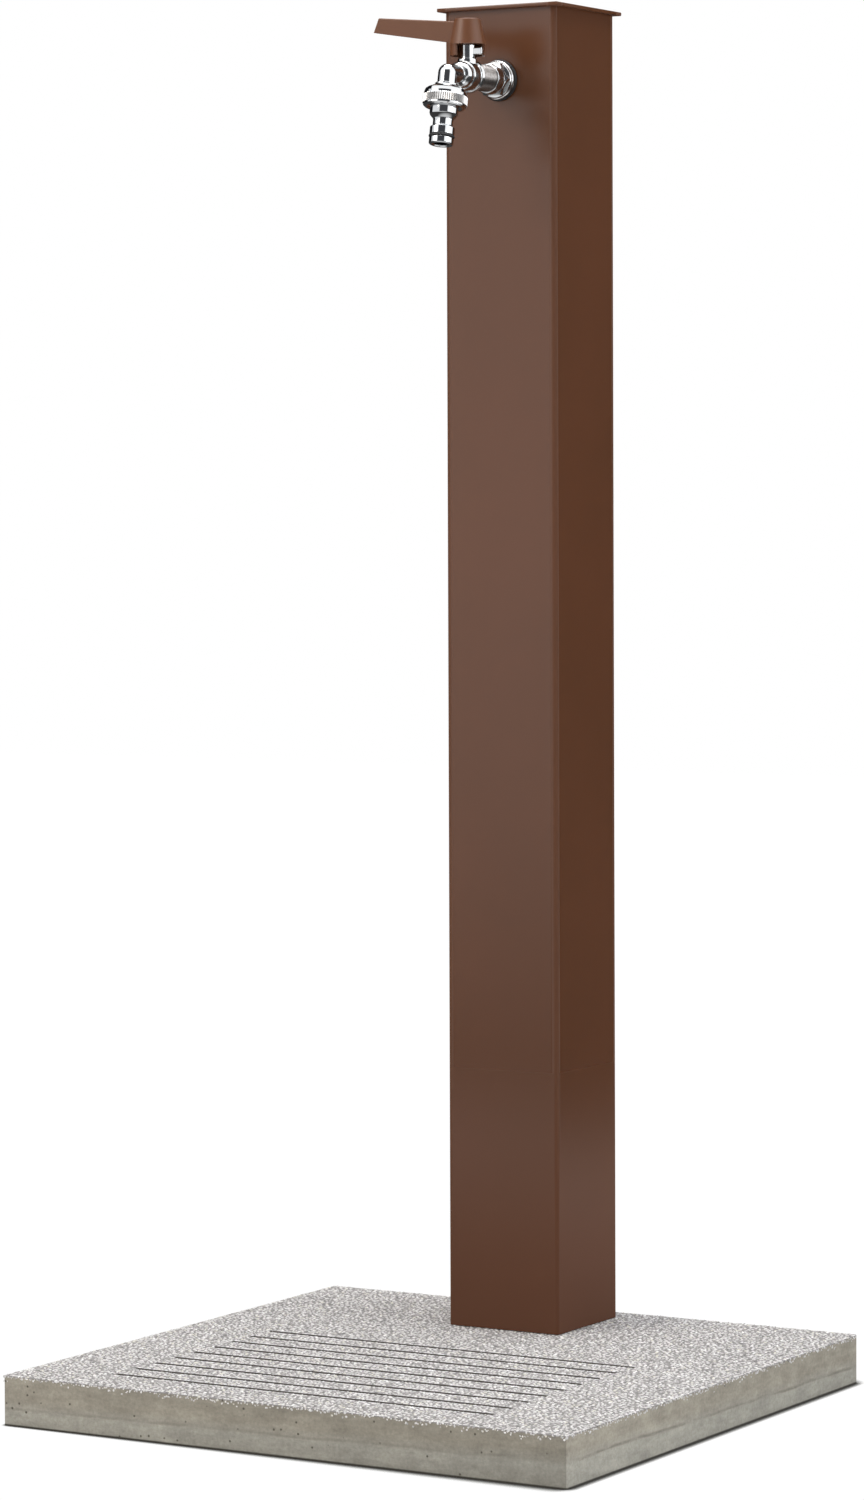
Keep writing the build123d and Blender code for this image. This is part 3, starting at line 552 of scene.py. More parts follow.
# The cement between the face's stones is a darker grey: partly its own colour, partly painted
# shade between the stones.
top_cement_and_shade = add_node(
    tree, "ShaderNodeMix", {"data_type": "RGBA"}, {7: linear("#928F8C")},
    {0: (on_top, 0), 6: (clouded, 0)},
)
# Painted shade: the slab's lowest 2 mm darken, as the shade under its bottom edge.
foot_shade = add_node(
    tree, "ShaderNodeMapRange", {"interpolation_type": "SMOOTHSTEP"},
    {"From Min": foot_shade_end, "From Max": foot_shade_full}, {"Value": (heights, "Z")},
)
foot_shaded = add_node(
    tree, "ShaderNodeMix", {"data_type": "RGBA"}, {7: linear("#3C3933")},
    {0: (foot_shade, 0), 6: (top_cement_and_shade, 2)},
)
grain = add_node(
    tree, "ShaderNodeTexNoise",
    values={"Scale": 1 / grain_size, "Detail": 5, "Roughness": 0.7},
    links={"Vector": (place, "Object")},
)
grained = shade_by(tree, (foot_shaded, 2), (grain, 0), 0.3, 0.7, 0.84, 1.12)
pit_cells = add_node(
    tree, "ShaderNodeTexVoronoi", values={"Scale": 1 / pit_spacing},
    links={"Vector": (place, "Object")},
)
pits = add_node(
    tree, "ShaderNodeMapRange", {"interpolation_type": "SMOOTHSTEP"},
    {"From Min": pit_floor, "From Max": pit_rim}, {"Value": (pit_cells, "Distance")},
)
pit_choice = add_node(tree, "ShaderNodeSeparateColor", links={"Color": (pit_cells, "Color")})
left_out = add_node(
    tree, "ShaderNodeMath", {"operation": "LESS_THAN"}, {1: pits_left_out}, {0: (pit_choice, 0)}
)
pit_or_flat = add_node(
    tree, "ShaderNodeMath", {"operation": "MAXIMUM"}, links={0: (pits, 0), 1: (left_out, 0)}
)
# Painted shade: the pits are coloured dark, as the shade inside them.
pit_shaded = add_node(
    tree, "ShaderNodeMix", {"data_type": "RGBA"}, {6: linear("#5E594E")},
    {0: (pit_or_flat, 0), 7: (grained, 0)},
)
tree.links.new(pit_shaded.outputs[2], shader.inputs["Base Color"])
relief = add_node(
    tree, "ShaderNodeMath", {"operation": "MULTIPLY_ADD"}, {1: grain_relief},
    {0: (grain, 0), 2: (pit_or_flat, 0)},
)
bump = add_node(
    tree, "ShaderNodeBump", values={"Strength": 0.6, "Distance": pit_depth},
    links={"Height": (relief, 0)},
)
tree.links.new(bump.outputs[0], shader.inputs["Normal"])


def two_tones(tree, shader, place, blotch, detail, dark, light, ends=(0, 1)):
    """Colours a finish in two close tones by blotches of a real size, and returns these."""
    blotches = add_node(
        tree, "ShaderNodeTexNoise", values={"Scale": 1 / blotch, "Detail": detail},
        links={"Vector": (place, "Object")},
    )
    tones = add_node(
        tree, "ShaderNodeValToRGB", links={"Fac": (blotches, 0)},
        stops=((ends[0], linear(dark)), (ends[1], linear(light))),
    )
    tree.links.new(tones.outputs[0], shader.inputs["Base Color"])
    return blotches


# The grooves' faces are painted dark brown and dull, as the shade inside them, in blotches of
# about 4 mm.
painted_groove_shade, tree, shader, place = new_finish(
    "painted_groove_shade", {"Roughness": 0.95, "Specular IOR Level": 0.2}
)
two_tones(tree, shader, place, 3.85 * mm, 4, "#3A362F", "#665F54")

cut_margin = 0.1 * mm
slab_block.data.materials.clear()
slab_block.data.materials.append(concrete)
slab_block.data.materials.append(painted_groove_shade)
# Faces inside the grooves take the painted groove shade.
for face in slab_block.data.polygons:
    nearest = min(abs(face.center.y - groove_y) for groove_y in groove_ys)
    in_length = abs(face.center.x - groove_middle_x) < groove_length / 2 + cut_margin
    in_width = nearest < groove_width / 2 + cut_margin
    if in_width and in_length and face.center.z > slab_high.z / 2:
        face.material_index = 1
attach(slab_block, "stand")
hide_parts("base_slab")

# Grit in the slab's face: crushed stone of 2 to 5 mm, half sunk in the cement and left
# out of the grooves. It thins out in a ragged line down the slab's edges. It is made in
# three strips, each small enough for one mesh.
grit_seed = 11
grit_pitch = 3.5 * mm
grit_jitter = 1.4 * mm
grit_half = (1.2 * mm, 2.3 * mm)
stone_long = (1.0, 1.3)
stone_flat = (0.6, 0.9)
stone_sunk = (0.95, 1.15)
stone_dent = (0.78, 1.0)
stone_tilt = 0.3
groove_room = (0.9, 1.05)
groove_clear = 0.6 * mm
under_column = 45 * mm
edge_grit_pitch = 1.5 * mm
edge_grit_jitter = 0.8 * mm
edge_grit_half = (0.9 * mm, 1.9 * mm)
edge_grit_half_height = (0.8 * mm, 1.6 * mm)
edge_grit_sunk = 0.1 * mm
edge_grit_drop = 5.2 * mm
drop_thinning = 1.7
ragged_least = 0.35
ragged_long, ragged_short = 61, 143
grit_strip = slab_size.x / 3
strips = {
    "slab_grit_left": (slab_low.x, slab_low.x + grit_strip),
    "slab_grit_middle": (slab_low.x + grit_strip, slab_high.x - grit_strip),
    "slab_grit_right": (slab_high.x - grit_strip, slab_high.x),
}

# The stones are crushed limestone and quartz: white, grey, pinkish and straw coloured,
# each of one colour with a fine grain, and dull where the cement was washed off.
stone_grain_size = 1.11 * mm
grit_stone, tree, shader, place = new_finish("washed_grit", {"Roughness": 0.72})
geometry = add_node(tree, "ShaderNodeNewGeometry")
stones = add_node(
    tree, "ShaderNodeValToRGB", links={"Fac": (geometry, "Random Per Island")},
    stops=(
        (0.0, linear("#AEACA8")), (0.14, linear("#CECCC9")), (0.38, linear("#DEDCD9")),
        (0.64, linear("#D5D2CE")), (0.82, linear("#DAD7CA")), (0.88, linear("#F1F0ED")),
        (0.96, linear("#787673")),
    ),
)
stones.color_ramp.interpolation = "CONSTANT"
stone_grain = add_node(
    tree, "ShaderNodeTexNoise", values={"Scale": 1 / stone_grain_size, "Detail": 3},
    links={"Vector": (place, "Object")},
)
stone_colour = shade_by(tree, (stones, 0), (stone_grain, 0), 0.3, 0.7, 0.85, 1.12)
tree.links.new(stone_colour.outputs[0], shader.inputs["Base Color"])

bpy.ops.mesh.primitive_ico_sphere_add(subdivisions=1, radius=1)
stone = bpy.context.object
stone_points = [v.co.copy() for v in stone.data.vertices]
stone_faces = [tuple(f.vertices) for f in stone.data.polygons]
bpy.data.objects.remove(stone)
draw = random.Random(grit_seed)


def add_stone(points, faces, middle, half):
    """Adds one dented, turned stone to a mesh's lists and keeps it in the slab's box."""
    spin = Quaternion((0, 0, 1), draw.uniform(0, 2 * pi))
    turn = spin @ Quaternion((1, 0, 0), draw.uniform(-stone_tilt, stone_tilt))
    start = len(points)
    for point in stone_points:
        shaped = turn @ Vector((point.x * half.x, point.y * half.y, point.z * half.z))
        place = middle + shaped * draw.uniform(*stone_dent)
        points.append([min(max(place[i], slab_low[i]), slab_high[i]) for i in range(3)])
    faces.extend(tuple(start + k for k in face) for face in stone_faces)


def in_worn_corner(x, y, reach):
    """Whether a stone would stand out of the slab's one worn corner."""
    middle = slab_high.xy - Vector((worn_corner_radius, worn_corner_radius))
    from_middle = Vector((x, y)) - middle
    return min(from_middle) > 0 and from_middle.length > worn_corner_radius - reach


for name, (left, right) in strips.items():
    points, faces = [], []
    columns = round((right - left) / grit_pitch)
    for i in range(columns):
        for j in range(round(slab_size.y / grit_pitch)):
            size = draw.uniform(*grit_half)
            half = size * Vector((draw.uniform(*stone_long), 1, draw.uniform(*stone_flat)))
            x = left + (i + 0.5) * (right - left) / columns + draw.uniform(-1, 1) * grit_jitter
            y = slab_low.y + (j + 0.5) * grit_pitch + draw.uniform(-1, 1) * grit_jitter
            x = min(max(x, slab_low.x + half.x), slab_high.x - half.x)
            y = min(max(y, slab_low.y + half.x), slab_high.y - half.x)
            z = slab_high.z - half.z * draw.uniform(*stone_sunk)
            groove_y = min(groove_ys, key=lambda row_y: abs(row_y - y))
            clear = groove_width / 2 + groove_clear + half.x * draw.uniform(*groove_room)
            if abs(y - groove_y) < clear and abs(x - groove_middle_x) < groove_length / 2:
                y = groove_y + (clear if y > groove_y else -clear)
            if max(abs(x - column_middle.x), abs(y - column_middle.y)) < under_column:
                continue
            if not in_worn_corner(x, y, half.x):
                add_stone(points, faces, Vector((x, y, z)), half)
    edges = [(slab_low.y, 1), (slab_high.y, 1)]
    if left == slab_low.x:
        edges.append((slab_low.x, 0))
    if right == slab_high.x:
        edges.append((slab_high.x, 0))
    for edge, across_axis in edges:
        start, end = (slab_low.y, slab_high.y) if across_axis == 0 else (left, right)
        for k in range(round((end - start) / edge_grit_pitch)):
            along = start + (k + 0.5) * edge_grit_pitch + draw.uniform(-1, 1) * edge_grit_jitter
            ragged = abs(sin(along * ragged_long + edge * 9) * sin(along * ragged_short))
            deepest = edge_grit_drop * (ragged_least + (1 - ragged_least) * ragged)
            drop = deepest * draw.random() ** drop_thinning
            half = Vector((
                draw.uniform(*edge_grit_half), draw.uniform(*edge_grit_half),
                draw.uniform(*edge_grit_half_height),
            ))
            inward = (half.x - edge_grit_sunk) * (1 if edge < 0 else -1)
            z = slab_high.z - half.z - drop
            x, y = (edge + inward, along) if across_axis == 0 else (along, edge + inward)
            if not in_worn_corner(x, y, half.x):
                add_stone(points, faces, Vector((x, y, z)), half)
    mesh = bpy.data.meshes.new(name)
    mesh.from_pydata(points, [], faces)
    grit = bpy.data.objects.new(name, mesh)
    bpy.context.collection.objects.link(grit)
    mesh.materials.append(grit_stone)
    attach(grit, "stand")
    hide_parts("base_slab")

# Column: a square steel tube with rolled corners, welded to a foot plate that is bolted
# to the slab. It is powder coated with the frame of its cap.
column_half = (column_high.x - column_low.x) / 2
coat_edge_start, coat_edge_full = column_half - 5 * mm, column_half - 2 * mm
dust_end, dust_full = 280 * mm, 60 * mm
clean_roughness = 0.25
edge_dull, dust_dull = 0.9, 0.85

# Brown polyester powder coat is satin, with a fine orange peel that breaks up its sheen.
# It is duller along the corners, where it lies thick, and near the ground, where dust
# settles. The peel is drawn coarser than life.
coat, tree, shader, place = new_finish("brown_powder_coat", {})
two_tones(tree, shader, place, 200 * mm, 3, "#5B3720", "#603A23", (0.35, 0.65))
from_axis = add_node(
    tree, "ShaderNodeVectorMath", {"operation": "SUBTRACT"}, {1: column_middle},
    {0: (place, "Object")},
)
from_axis = add_node(
    tree, "ShaderNodeVectorMath", {"operation": "ABSOLUTE"}, links={0: (from_axis, 0)}
)
reaches = add_node(tree, "ShaderNodeSeparateXYZ", links={"Vector": (from_axis, 0)})
corner_reach = add_node(
    tree, "ShaderNodeMath", {"operation": "MINIMUM"}, links={0: (reaches, "X"), 1: (reaches, "Y")}
)
edge_roughness = add_node(
    tree, "ShaderNodeMapRange", {"interpolation_type": "SMOOTHSTEP"},
    {
        "From Min": coat_edge_start, "From Max": coat_edge_full,
        "To Min": clean_roughness, "To Max": edge_dull,
    },
    {"Value": (corner_reach, 0)},
)
coat_height = add_node(tree, "ShaderNodeSeparateXYZ", links={"Vector": (place, "Object")})
ground_roughness = add_node(
    tree, "ShaderNodeMapRange", {"interpolation_type": "SMOOTHSTEP"},
    {
        "From Min": dust_end, "From Max": dust_full,
        "To Min": clean_roughness, "To Max": dust_dull,
    },
    {"Value": (coat_height, "Z")},
)
dulled = add_node(
    tree, "ShaderNodeMath", {"operation": "MAXIMUM"},
    links={0: (edge_roughness, 0), 1: (ground_roughness, 0)},
)
tree.links.new(dulled.outputs[0], shader.inputs["Roughness"])


def orange_peel(tree, shader, place, ripple, strength, depth):
    """Ripples a sprayed coat a little, at a real size."""
    peel = add_node(
        tree, "ShaderNodeTexNoise", values={"Scale": 1 / ripple, "Detail": 2},
        links={"Vector": (place, "Object")},
    )
    bump = add_node(
        tree, "ShaderNodeBump", values={"Strength": strength, "Distance": depth},
        links={"Height": (peel, 0)},
    )
    tree.links.new(bump.outputs[0], shader.inputs["Normal"])


def coat_nodes(material, *names):
    """Gives CAD nodes their finished material."""
    for name in names:
        node = frame["nodes"][name]
        node.data.materials.clear()
        node.data.materials.append(material)


orange_peel(tree, shader, place, 1.54 * mm, 0.25, 0.12 * mm)
coat_nodes(coat, "column", "cap_frame")

# Cap: a flat steel plate welded on its frame, with its cut edges eased and the column's
# coat over it. It is pushed into the top of the column.
cap_edge = 0.7 * mm
smooth_angle = radians(40)
cap_low, cap_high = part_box("cap_plate")
bpy.ops.mesh.primitive_cube_add(size=1, location=(cap_low + cap_high) / 2)
cap = bpy.context.object
cap.name = "cap"
cap.scale = cap_high - cap_low
bpy.ops.object.transform_apply(location=True, rotation=True, scale=True)
bpy.ops.object.mode_set(mode="EDIT")
bpy.ops.mesh.select_all(action="SELECT")
bpy.ops.mesh.bevel(offset=cap_edge, segments=4)
bpy.ops.object.mode_set(mode="OBJECT")
bpy.ops.object.shade_smooth_by_angle(angle=smooth_angle)
cap.data.materials.append(coat)
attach(cap, "stand")
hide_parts("cap_plate")

# Fixings and pipework inside: bolts, plates and the riser of zinc-plated steel, turned
# brass fittings, rubber seals, and the plastic seats of the valve.


def uneven_gloss(tree, shader, pattern, sharp, dull):
    """Lets a finish's roughness follow its pattern."""
    gloss = add_node(
        tree, "ShaderNodeMapRange", values={"To Min": sharp, "To Max": dull},
        links={"Value": pattern},
    )
    tree.links.new(gloss.outputs[0], shader.inputs["Roughness"])


# Zinc plate is bluish grey, and its crystals differ a little in tone and gloss.
zinc_crystal = 2.86 * mm
zinc, tree, shader, place = new_finish("zinc_plated_steel", {"Metallic": 1.0})
spangle = add_node(
    tree, "ShaderNodeTexVoronoi", values={"Scale": 1 / zinc_crystal},
    links={"Vector": (place, "Object")},
)
zinc_greys = add_node(
    tree, "ShaderNodeValToRGB", links={"Fac": (spangle, "Distance")},
    stops=((0, linear("#A9ADB2")), (1, linear("#C9CCD0"))),
)
tree.links.new(zinc_greys.outputs[0], shader.inputs["Base Color"])
uneven_gloss(tree, shader, (spangle, "Distance"), 0.3, 0.48)
coat_nodes(
    zinc, "foot_plate", "weld_nuts", "bolt_washers", "slab_bolts", "riser_pipe", "tail_washer",
    "lever_screw",
)

# Turned brass is yellow and fairly bright, with darker patches of tarnish.
brass, tree, shader, place = new_finish("turned_brass", {"Metallic": 1.0, "Roughness": 0.28})
two_tones(tree, shader, place, 8.33 * mm, 4, "#B08A4A", "#D9B872")
coat_nodes(brass, "wall_elbow", "inlet_coupling", "tail_locknut", "valve_stem")

# Moulded black rubber is nearly matt, with a faint grey bloom.
rubber, tree, shader, place = new_finish("black_rubber", {"Roughness": 0.55})
two_tones(tree, shader, place, 3.33 * mm, 3, "#161616", "#2A2A2B")
coat_nodes(rubber, "pipe_grommet", "stem_rings", "connector_washer", "wall_gasket", "nose_ring")

# The seats are pressed from white fluoroplastic: smooth, and a little milky.
seat_plastic, tree, shader, place = new_finish("white_seat_plastic", {"Roughness": 0.35})
two_tones(tree, shader, place, 5 * mm, 2, "#E4E2DC", "#F3F2EE")
coat_nodes(seat_plastic, "seat_rear", "seat_front")

# Flange nut: turned from brass bar with a round flange, milled to a hexagon and left
# with a smooth collar, then plated. It screws on the tap's tail against the gasket.
hex_across = 25.5
hex_length = 12.5
hex_middle = 13.2
hex_bore = 10.5
hexagon_ease = 0.5
hexagon_angle = 12

# Chrome over a lightly brushed casting mirrors the room in soft, pale patches.
satin_chrome, tree, shader, place = new_finish("satin_chrome", {"Metallic": 1.0})
plating = two_tones(tree, shader, place, 4.17 * mm, 3, "#C6C8C9", "#D4D5D5")
uneven_gloss(tree, shader, (plating, 0), 0.14, 0.19)

hinge = {joint["name"]: joint for joint in frame["joints"]}
stem_place = Vector(hinge["lever_turn"]["pos_m"])
tap_place = Vector((stem_place.x, column_low.y, stem_place.z))
spout_place = Vector(hinge["nut_turn"]["pos_m"])
spout_down = Vector(hinge["nut_turn"]["axis"]).normalized()


def lathe_place(origin, along):
    """The matrix that takes a piece turned on +Z to its own place and axis."""
    side = Vector((1, 0, 0))
    turn = Matrix((side, along.cross(side), along)).transposed()
    return Matrix.Translation(origin) @ turn.to_4x4()


tap_lathe = lathe_place(tap_place, Vector((0, -1, 0)))
stem_lathe = lathe_place(stem_place, Vector((0, 0, 1)))
spout_lathe = lathe_place(spout_place, spout_down)
pole = 0.004


def arc(middle, radius, start, end, steps=6):
    """Points (distance, radius) of a round on a turned outline, in degrees from its axis."""
    turns = [radians(start + (end - start) * step / steps) for step in range(steps + 1)]
    return [(middle[0] + radius * cos(turn), middle[1] + radius * sin(turn)) for turn in turns]


def eased(piece, width, angle=28):
    """Rounds a piece's edges a little and shades it smooth between them."""
    keep_selected(piece)
    bevel = piece.modifiers.new("ease", "BEVEL")
    bevel.width = width * mm
    bevel.segments = 3
    bevel.limit_method = "ANGLE"
    bevel.angle_limit = radians(angle)
    bevel.use_clamp_overlap = True
    bpy.ops.object.modifier_apply(modifier=bevel.name)
    bpy.ops.object.shade_smooth_by_angle(angle=smooth_angle)
    weights = piece.modifiers.new("weights", "WEIGHTED_NORMAL")
    weights.keep_sharp = True
    bpy.ops.object.modifier_apply(modifier=weights.name)


def turned(name, outline, lathe, sides=96, ease=0.25):
    """Turns an outline of (distance along the axis, radius) in mm: rings extruded in turn."""
    bpy.ops.object.select_all(action="DESELECT")
    reach, radius = outline[0]
    bpy.ops.mesh.primitive_circle_add(
        vertices=sides, radius=radius * mm, location=(0, 0, reach * mm), enter_editmode=True
    )
    for next_reach, next_radius in outline[1:]:
        bpy.ops.mesh.extrude_region_move(
            TRANSFORM_OT_translate={"value": (0, 0, (next_reach - reach) * mm)}
        )
        if next_radius != radius:
            factor = next_radius / radius
            bpy.ops.transform.resize(
                value=(factor, factor, 1), center_override=(0, 0, next_reach * mm)
            )
        reach, radius = next_reach, next_radius
    bpy.ops.mesh.select_all(action="SELECT")
    bpy.ops.mesh.remove_doubles(threshold=0.02 * mm)
    bpy.ops.mesh.normals_make_consistent(inside=False)
    bpy.ops.object.mode_set(mode="OBJECT")
    piece = bpy.context.object
    piece.name = name
    piece.data.name = name
    bpy.ops.object.transform_apply(location=True, rotation=True, scale=True)
    piece.matrix_world = lathe
    bpy.ops.object.transform_apply(location=True, rotation=True, scale=True)
    if ease:
        eased(piece, ease)
    return piece


def join(piece, *others):
    """Joins other pieces into one."""
    keep_selected(piece)
    for other in others:
        other.select_set(True)
    bpy.ops.object.join()


def fit(piece, body, material, slot, *nodes):
    """Gives a finished piece its material and its body, and hides the CAD nodes it stands for."""
    piece.data.materials.clear()
    piece.data.materials.append(material)
    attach(piece, body)
    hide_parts(*nodes)


flange = turned(
    "flange_nut_ring",
    [
        (3.5, 10.6), (3.5, 15.7), *arc((5.2, 14.6), 1.5, 160, 20), (7.6, 14.9), (8.4, 14.4),
        (8.4, 10.6), (3.5, 10.6),
    ],
    tap_lathe,
)
hex_radius = hex_across / 2 / cos(radians(30))
bpy.ops.mesh.primitive_cylinder_add(vertices=6, radius=hex_radius * mm, depth=hex_length * mm)
hexagon = bpy.context.object
hex_turn = Matrix.Rotation(radians(30), 4, "Z")
hexagon.matrix_world = tap_lathe @ Matrix.Translation((0, 0, hex_middle * mm)) @ hex_turn
keep_selected(hexagon)
bpy.ops.object.transform_apply(location=True, rotation=True, scale=True)
hex_cone = turned(
    "hex_cone",
    [
        (4, pole), (4, 20), (12.6, 20), (12.6, 14.9), (14.0, 12.5), (18.2, 11.7), (19.5, 11.7),
        (19.5, pole),
    ],
    tap_lathe, ease=0,
)
cut(hexagon, [hex_cone], "INTERSECT")
hex_hole = turned(
    "hex_hole", [(0, pole), (0, hex_bore), (30, hex_bore), (30, pole)], tap_lathe, ease=0
)
cut(hexagon, [hex_hole])
eased(hexagon, hexagon_ease, hexagon_angle)
collar = turned(
    "flange_nut_collar",
    [(19.2, 10.5), (19.2, 11.9), (21.9, 11.9), (22.5, 11.3), (22.5, 10.5), (19.2, 10.5)],
    tap_lathe,
)
join(flange, hexagon, collar)
flange.name = "flange_nut_turned"
fit(flange, "stand", satin_chrome, "chrome", "flange_nut")

# Gasket: a moulded rubber ring with round edges, which the flange nut squeezes against
# the column.
gasket = turned(
    "wall_ring",
    [
        (0.02, 10.6), (0.02, 16.6), *arc((1.75, 15.5), 1.5, 150, 30), (3.48, 16.4),
        (3.48, 10.6), (0.02, 10.6),
    ],
    tap_lathe,
)
fit(gasket, "stand", rubber, "rubber", "wall_gasket")

# Tap body: a brass casting, turned on its outside and chromed. Its pipe thread runs out
# of the flange nut to a round rim, and a neck with a stop lug stands on the valve.
thread_pitch = 1.814
thread_root, thread_outside = 9.8, 10.4
thread_crest_start, thread_crest_end = 0.42 * thread_pitch, 0.56 * thread_pitch
thread_start = 21.0
thread_turns = 14
thread_wall = 0.8
thread_sides = 64
lug_place = Vector((9.9, 0, 19.45))
lug_size = Vector((9, 5, 5.5))
lug_ease = 0.8

# The thread's chrome is painted a darker brownish grey and made duller, as painted shade for the
# dark room that it mirrors.
thread_shaded_chrome, tree, shader, place = new_finish("thread_shaded_chrome", {"Metallic": 1.0, "Roughness": 0.34})
two_tones(tree, shader, place, 1.43 * mm, 4, "#7C7875", "#A5A19E", (0.3, 0.7))

tail = turned(
    "tap_tail",
    [(-22.5, 6.5), (-22.5, 9.6), (26, 9.6), (26, 9.2), (46.4, 9.2), (46.4, 6.5), (-22.5, 6.5)],
    tap_lathe,
)
thread_profile = bpy.data.meshes.new("thread")
thread_profile.from_pydata(
    [
        (radius * mm, 0, along * mm)
        for radius, along in (
            (thread_root, 0), (thread_outside, thread_crest_start),
            (thread_outside, thread_crest_end), (thread_root, thread_pitch),
        )
    ],
    [(0, 1), (1, 2), (2, 3)], [],
)
thread = bpy.data.objects.new("tap_thread", thread_profile)
bpy.context.collection.objects.link(thread)
thread.matrix_world = tap_lathe @ Matrix.Translation((0, 0, thread_start * mm))
screw = thread.modifiers.new("screw", "SCREW")
screw.axis = "Z"
screw.steps = thread_sides
screw.render_steps = thread_sides
screw.screw_offset = thread_pitch * mm
screw.iterations = thread_turns
screw.use_merge_vertices = True
screw.merge_threshold = 0.005 * mm
wall = thread.modifiers.new("wall", "SOLIDIFY")
wall.thickness = thread_wall * mm
wall.offset = 0
keep_selected(thread)
for modifier in (screw, wall):
    bpy.ops.object.modifier_apply(modifier=modifier.name)
bpy.ops.object.transform_apply(location=True, rotation=True, scale=True)
bpy.ops.object.mode_set(mode="EDIT")
bpy.ops.mesh.select_all(action="SELECT")
bpy.ops.mesh.normals_make_consistent(inside=False)
bpy.ops.object.mode_set(mode="OBJECT")
bpy.ops.object.shade_smooth_by_angle(angle=radians(50))
body = turned(
    "tap_barrel",
    [
        (46.6, 6.5), (46.6, 11.2), (47.0, 12.9), (47.5, 13.5), (48.2, 13.7), (50.6, 12.95),
        (51.1, 12.1), (59.9, 12.1), (61.5, 11.5), (61.5, 8.6), (46.6, 6.5),
    ],
    tap_lathe,
)
neck = turned(
    "tap_neck",
    [
        (8.0, 3.6), (8.0, 8.0), (12.4, 8.0), (13.9, 7.5), (15.5, 7.0), (24.6, 7.0), (25.0, 6.6),
        (25.0, 3.6), (8.0, 3.6),
    ],
    stem_lathe,
)
bpy.ops.mesh.primitive_cube_add(size=1, location=stem_place + lug_place * mm)
lug = bpy.context.object
lug.scale = lug_size * mm
bpy.ops.object.transform_apply(location=True, rotation=True, scale=True)
eased(lug, lug_ease)
join(body, neck, lug)
body.name = "tap_body_turned"
fit(body, "stand", satin_chrome, "chrome", "tap_body")
join(tail, thread)
tail.name = "tap_tail_thread"
fit(tail, "stand", thread_shaded_chrome, "chrome", "tap_body")

# End cap: a turned brass plug, chromed, that screws into the body's front. A smooth band
# and a round shoulder narrow it to the spout.
plug = turned(
    "end_cap_turned",
    [
        (58.8, 4.7), (58.8, 8.5), (61.5, 8.5), (61.5, 10.6), (61.9, 11.0), (64.4, 11.0),
        *arc((64.5, 6.0), 5.0, 90, 25, 14), (69.1, 7.7), (65.5, 7.7), (65.5, 4.7), (58.8, 4.7),
    ],
    tap_lathe,
)
fit(plug, "stand", satin_chrome, "chrome", "end_cap")

# Spout: chromed brass, bent over in a smooth dome, and turned below with a small ring, a
# cone and the thread for the connector. Its arm is fixed in the end cap and has the
# body's softer finish.
spout_radius = 7.6
arm_behind = 7.7 * mm
arm_below = 8 * mm

# Polished chrome is bluish white and mirrors the room sharply. The valve's ball has it too.
chrome, tree, shader, place = new_finish("polished_chrome", {"Metallic": 1.0})
plating = two_tones(tree, shader, place, 5.56 * mm, 3, "#BFC1C3", "#CBCCCD")
uneven_gloss(tree, shader, (plating, 0), 0.02, 0.06)
coat_nodes(chrome, "valve_ball")

spout_arm = turned(
    "spout_arm",
    [(65.6, 5.4), (65.6, spout_radius), (85, spout_radius), (85, 5.4), (65.6, 5.4)],
    tap_lathe, ease=0.2,
)
spout_tube = turned(
    "spout_turned",
    [
        (-spout_radius, pole), *arc((0, 0), spout_radius, 176, 90, 14), (9.0, spout_radius),
        (9.0, 9.2), (10.6, 9.2), (11.6, 11.6), (12.9, 13.1), (21.4, 13.1), (21.4, 9.0),
        (16.4, 9.0), (16.4, 5.4), (1.0, 5.4), (1.0, pole),
    ],
    spout_lathe,
)
join(spout_tube, spout_arm)
fit(spout_tube, "stand", chrome, "chrome", "spout")
spout_tube.data.materials.append(satin_chrome)
for face in spout_tube.data.polygons:
    from_spout = face.center - spout_place
    if from_spout.y > arm_behind and from_spout.z > -arm_below:
        face.material_index = 1

# Connector nut: a chromed brass swivel nut with a straight knurl round its widest part,
# which screws on the spout by hand.
knurl_teeth = 60
knurl_radius = 17.9
knurl_start, knurl_end = 19.6, 25.8
tooth_radii = (17.3, 17.75, 18.1, 17.75)
steps_round = len(tooth_radii) * knurl_teeth
inside_teeth = 17

# The knurl's fine teeth scatter the light, so it looks paler and duller than the chrome.
knurled_chrome, tree, shader, place = new_finish(
    "knurled_chrome", {"Metallic": 1.0, "Roughness": 0.38}
)
two_tones(tree, shader, place, 1.11 * mm, 2, "#A8A6A4", "#E6E5E3")

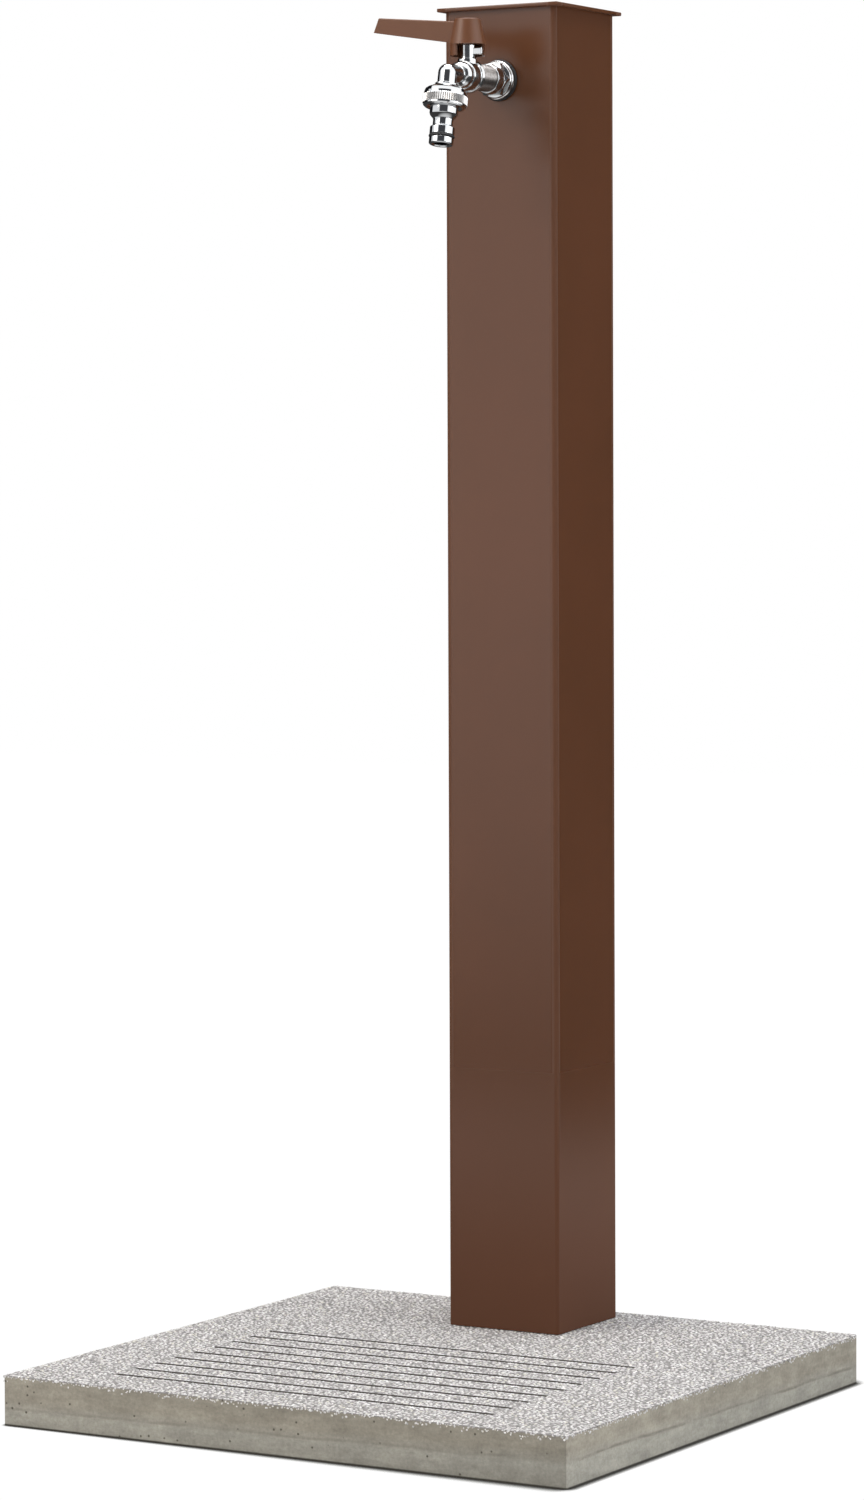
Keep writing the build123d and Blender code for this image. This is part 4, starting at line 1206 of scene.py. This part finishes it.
nut = turned(
    "connector_nut",
    [
        (13.3, 13.35), (13.3, 15.0), (14.6, 16.6), (17.2, 17.4), (19.0, 17.4),
        (knurl_start, knurl_radius), (knurl_end, knurl_radius), (26.1, 17.3), (27.3, 17.3),
        (28.4, 16.1), (28.4, 14.2), (27.0, 11.8), (24.7, 11.8), (24.7, 13.35), (13.3, 13.35),
    ],
    spout_lathe, sides=steps_round, ease=0,
)
to_lathe = spout_lathe.inverted()
for vertex in nut.data.vertices:
    on_lathe = to_lathe @ vertex.co
    radius = on_lathe.xy.length
    if abs(radius - knurl_radius * mm) < 0.05 * mm:
        step = round(atan2(on_lathe.y, on_lathe.x) / (2 * pi) * steps_round)
        factor = tooth_radii[step % len(tooth_radii)] * mm / radius
        vertex.co = spout_lathe @ Vector((on_lathe.x * factor, on_lathe.y * factor, on_lathe.z))
keep_selected(nut)
bpy.ops.object.shade_smooth_by_angle(angle=radians(14))
fit(nut, "swivel_nut", chrome, "chrome", "hose_nut")
nut.data.materials.append(knurled_chrome)
for face in nut.data.polygons:
    middle = to_lathe @ face.center
    on_knurl = knurl_start * mm < middle.z < knurl_end * mm
    if on_knurl and middle.xy.length > inside_teeth * mm:
        face.material_index = 1

# Connector nose: a chromed brass spigot for a click coupling, with a shoulder, a waist,
# a collar, and a groove behind the tip that holds a rubber sealing ring.
nose = turned(
    "connector_nose",
    [
        (23.2, 6.3), (23.2, 13.0), (24.6, 13.0), (24.6, 11.5), (33.6, 11.5), (35.2, 10.9),
        (38.0, 8.3), (39.2, 8.1), (43.6, 8.1), (44.2, 8.6), (45.0, 10.0), (50.9, 10.0),
        (50.9, 8.1), (53.7, 8.1), (53.7, 9.9), (58.2, 9.9), (59.0, 9.2), (59.0, 7.4),
        (58.0, 6.3), (23.2, 6.3),
    ],
    spout_lathe,
)
fit(nose, "connector", chrome, "chrome", "hose_nose")
seal = turned("connector_seal", arc((52.3, 9.3), 1.2, 0, 360, 20), spout_lathe, ease=0)
keep_selected(seal)
bpy.ops.object.shade_smooth_by_angle(angle=radians(60))
fit(seal, "connector", rubber, "rubber", "nose_ring")

# Lever: die-cast zinc, screwed down on the stem, with the column's brown coat a shade
# lighter on it. Sprayed on a smooth casting, the coat has a finer peel and an even sheen.
lever_coat, tree, shader, place = new_finish(
    "brown_lever_coat", {"Roughness": 0.38, "Specular IOR Level": 0.38}
)
two_tones(tree, shader, place, 25 * mm, 3, "#623D26", "#69422B")
orange_peel(tree, shader, place, 1.11 * mm, 0.2, 0.08 * mm)
coat_nodes(lever_coat, "lever")
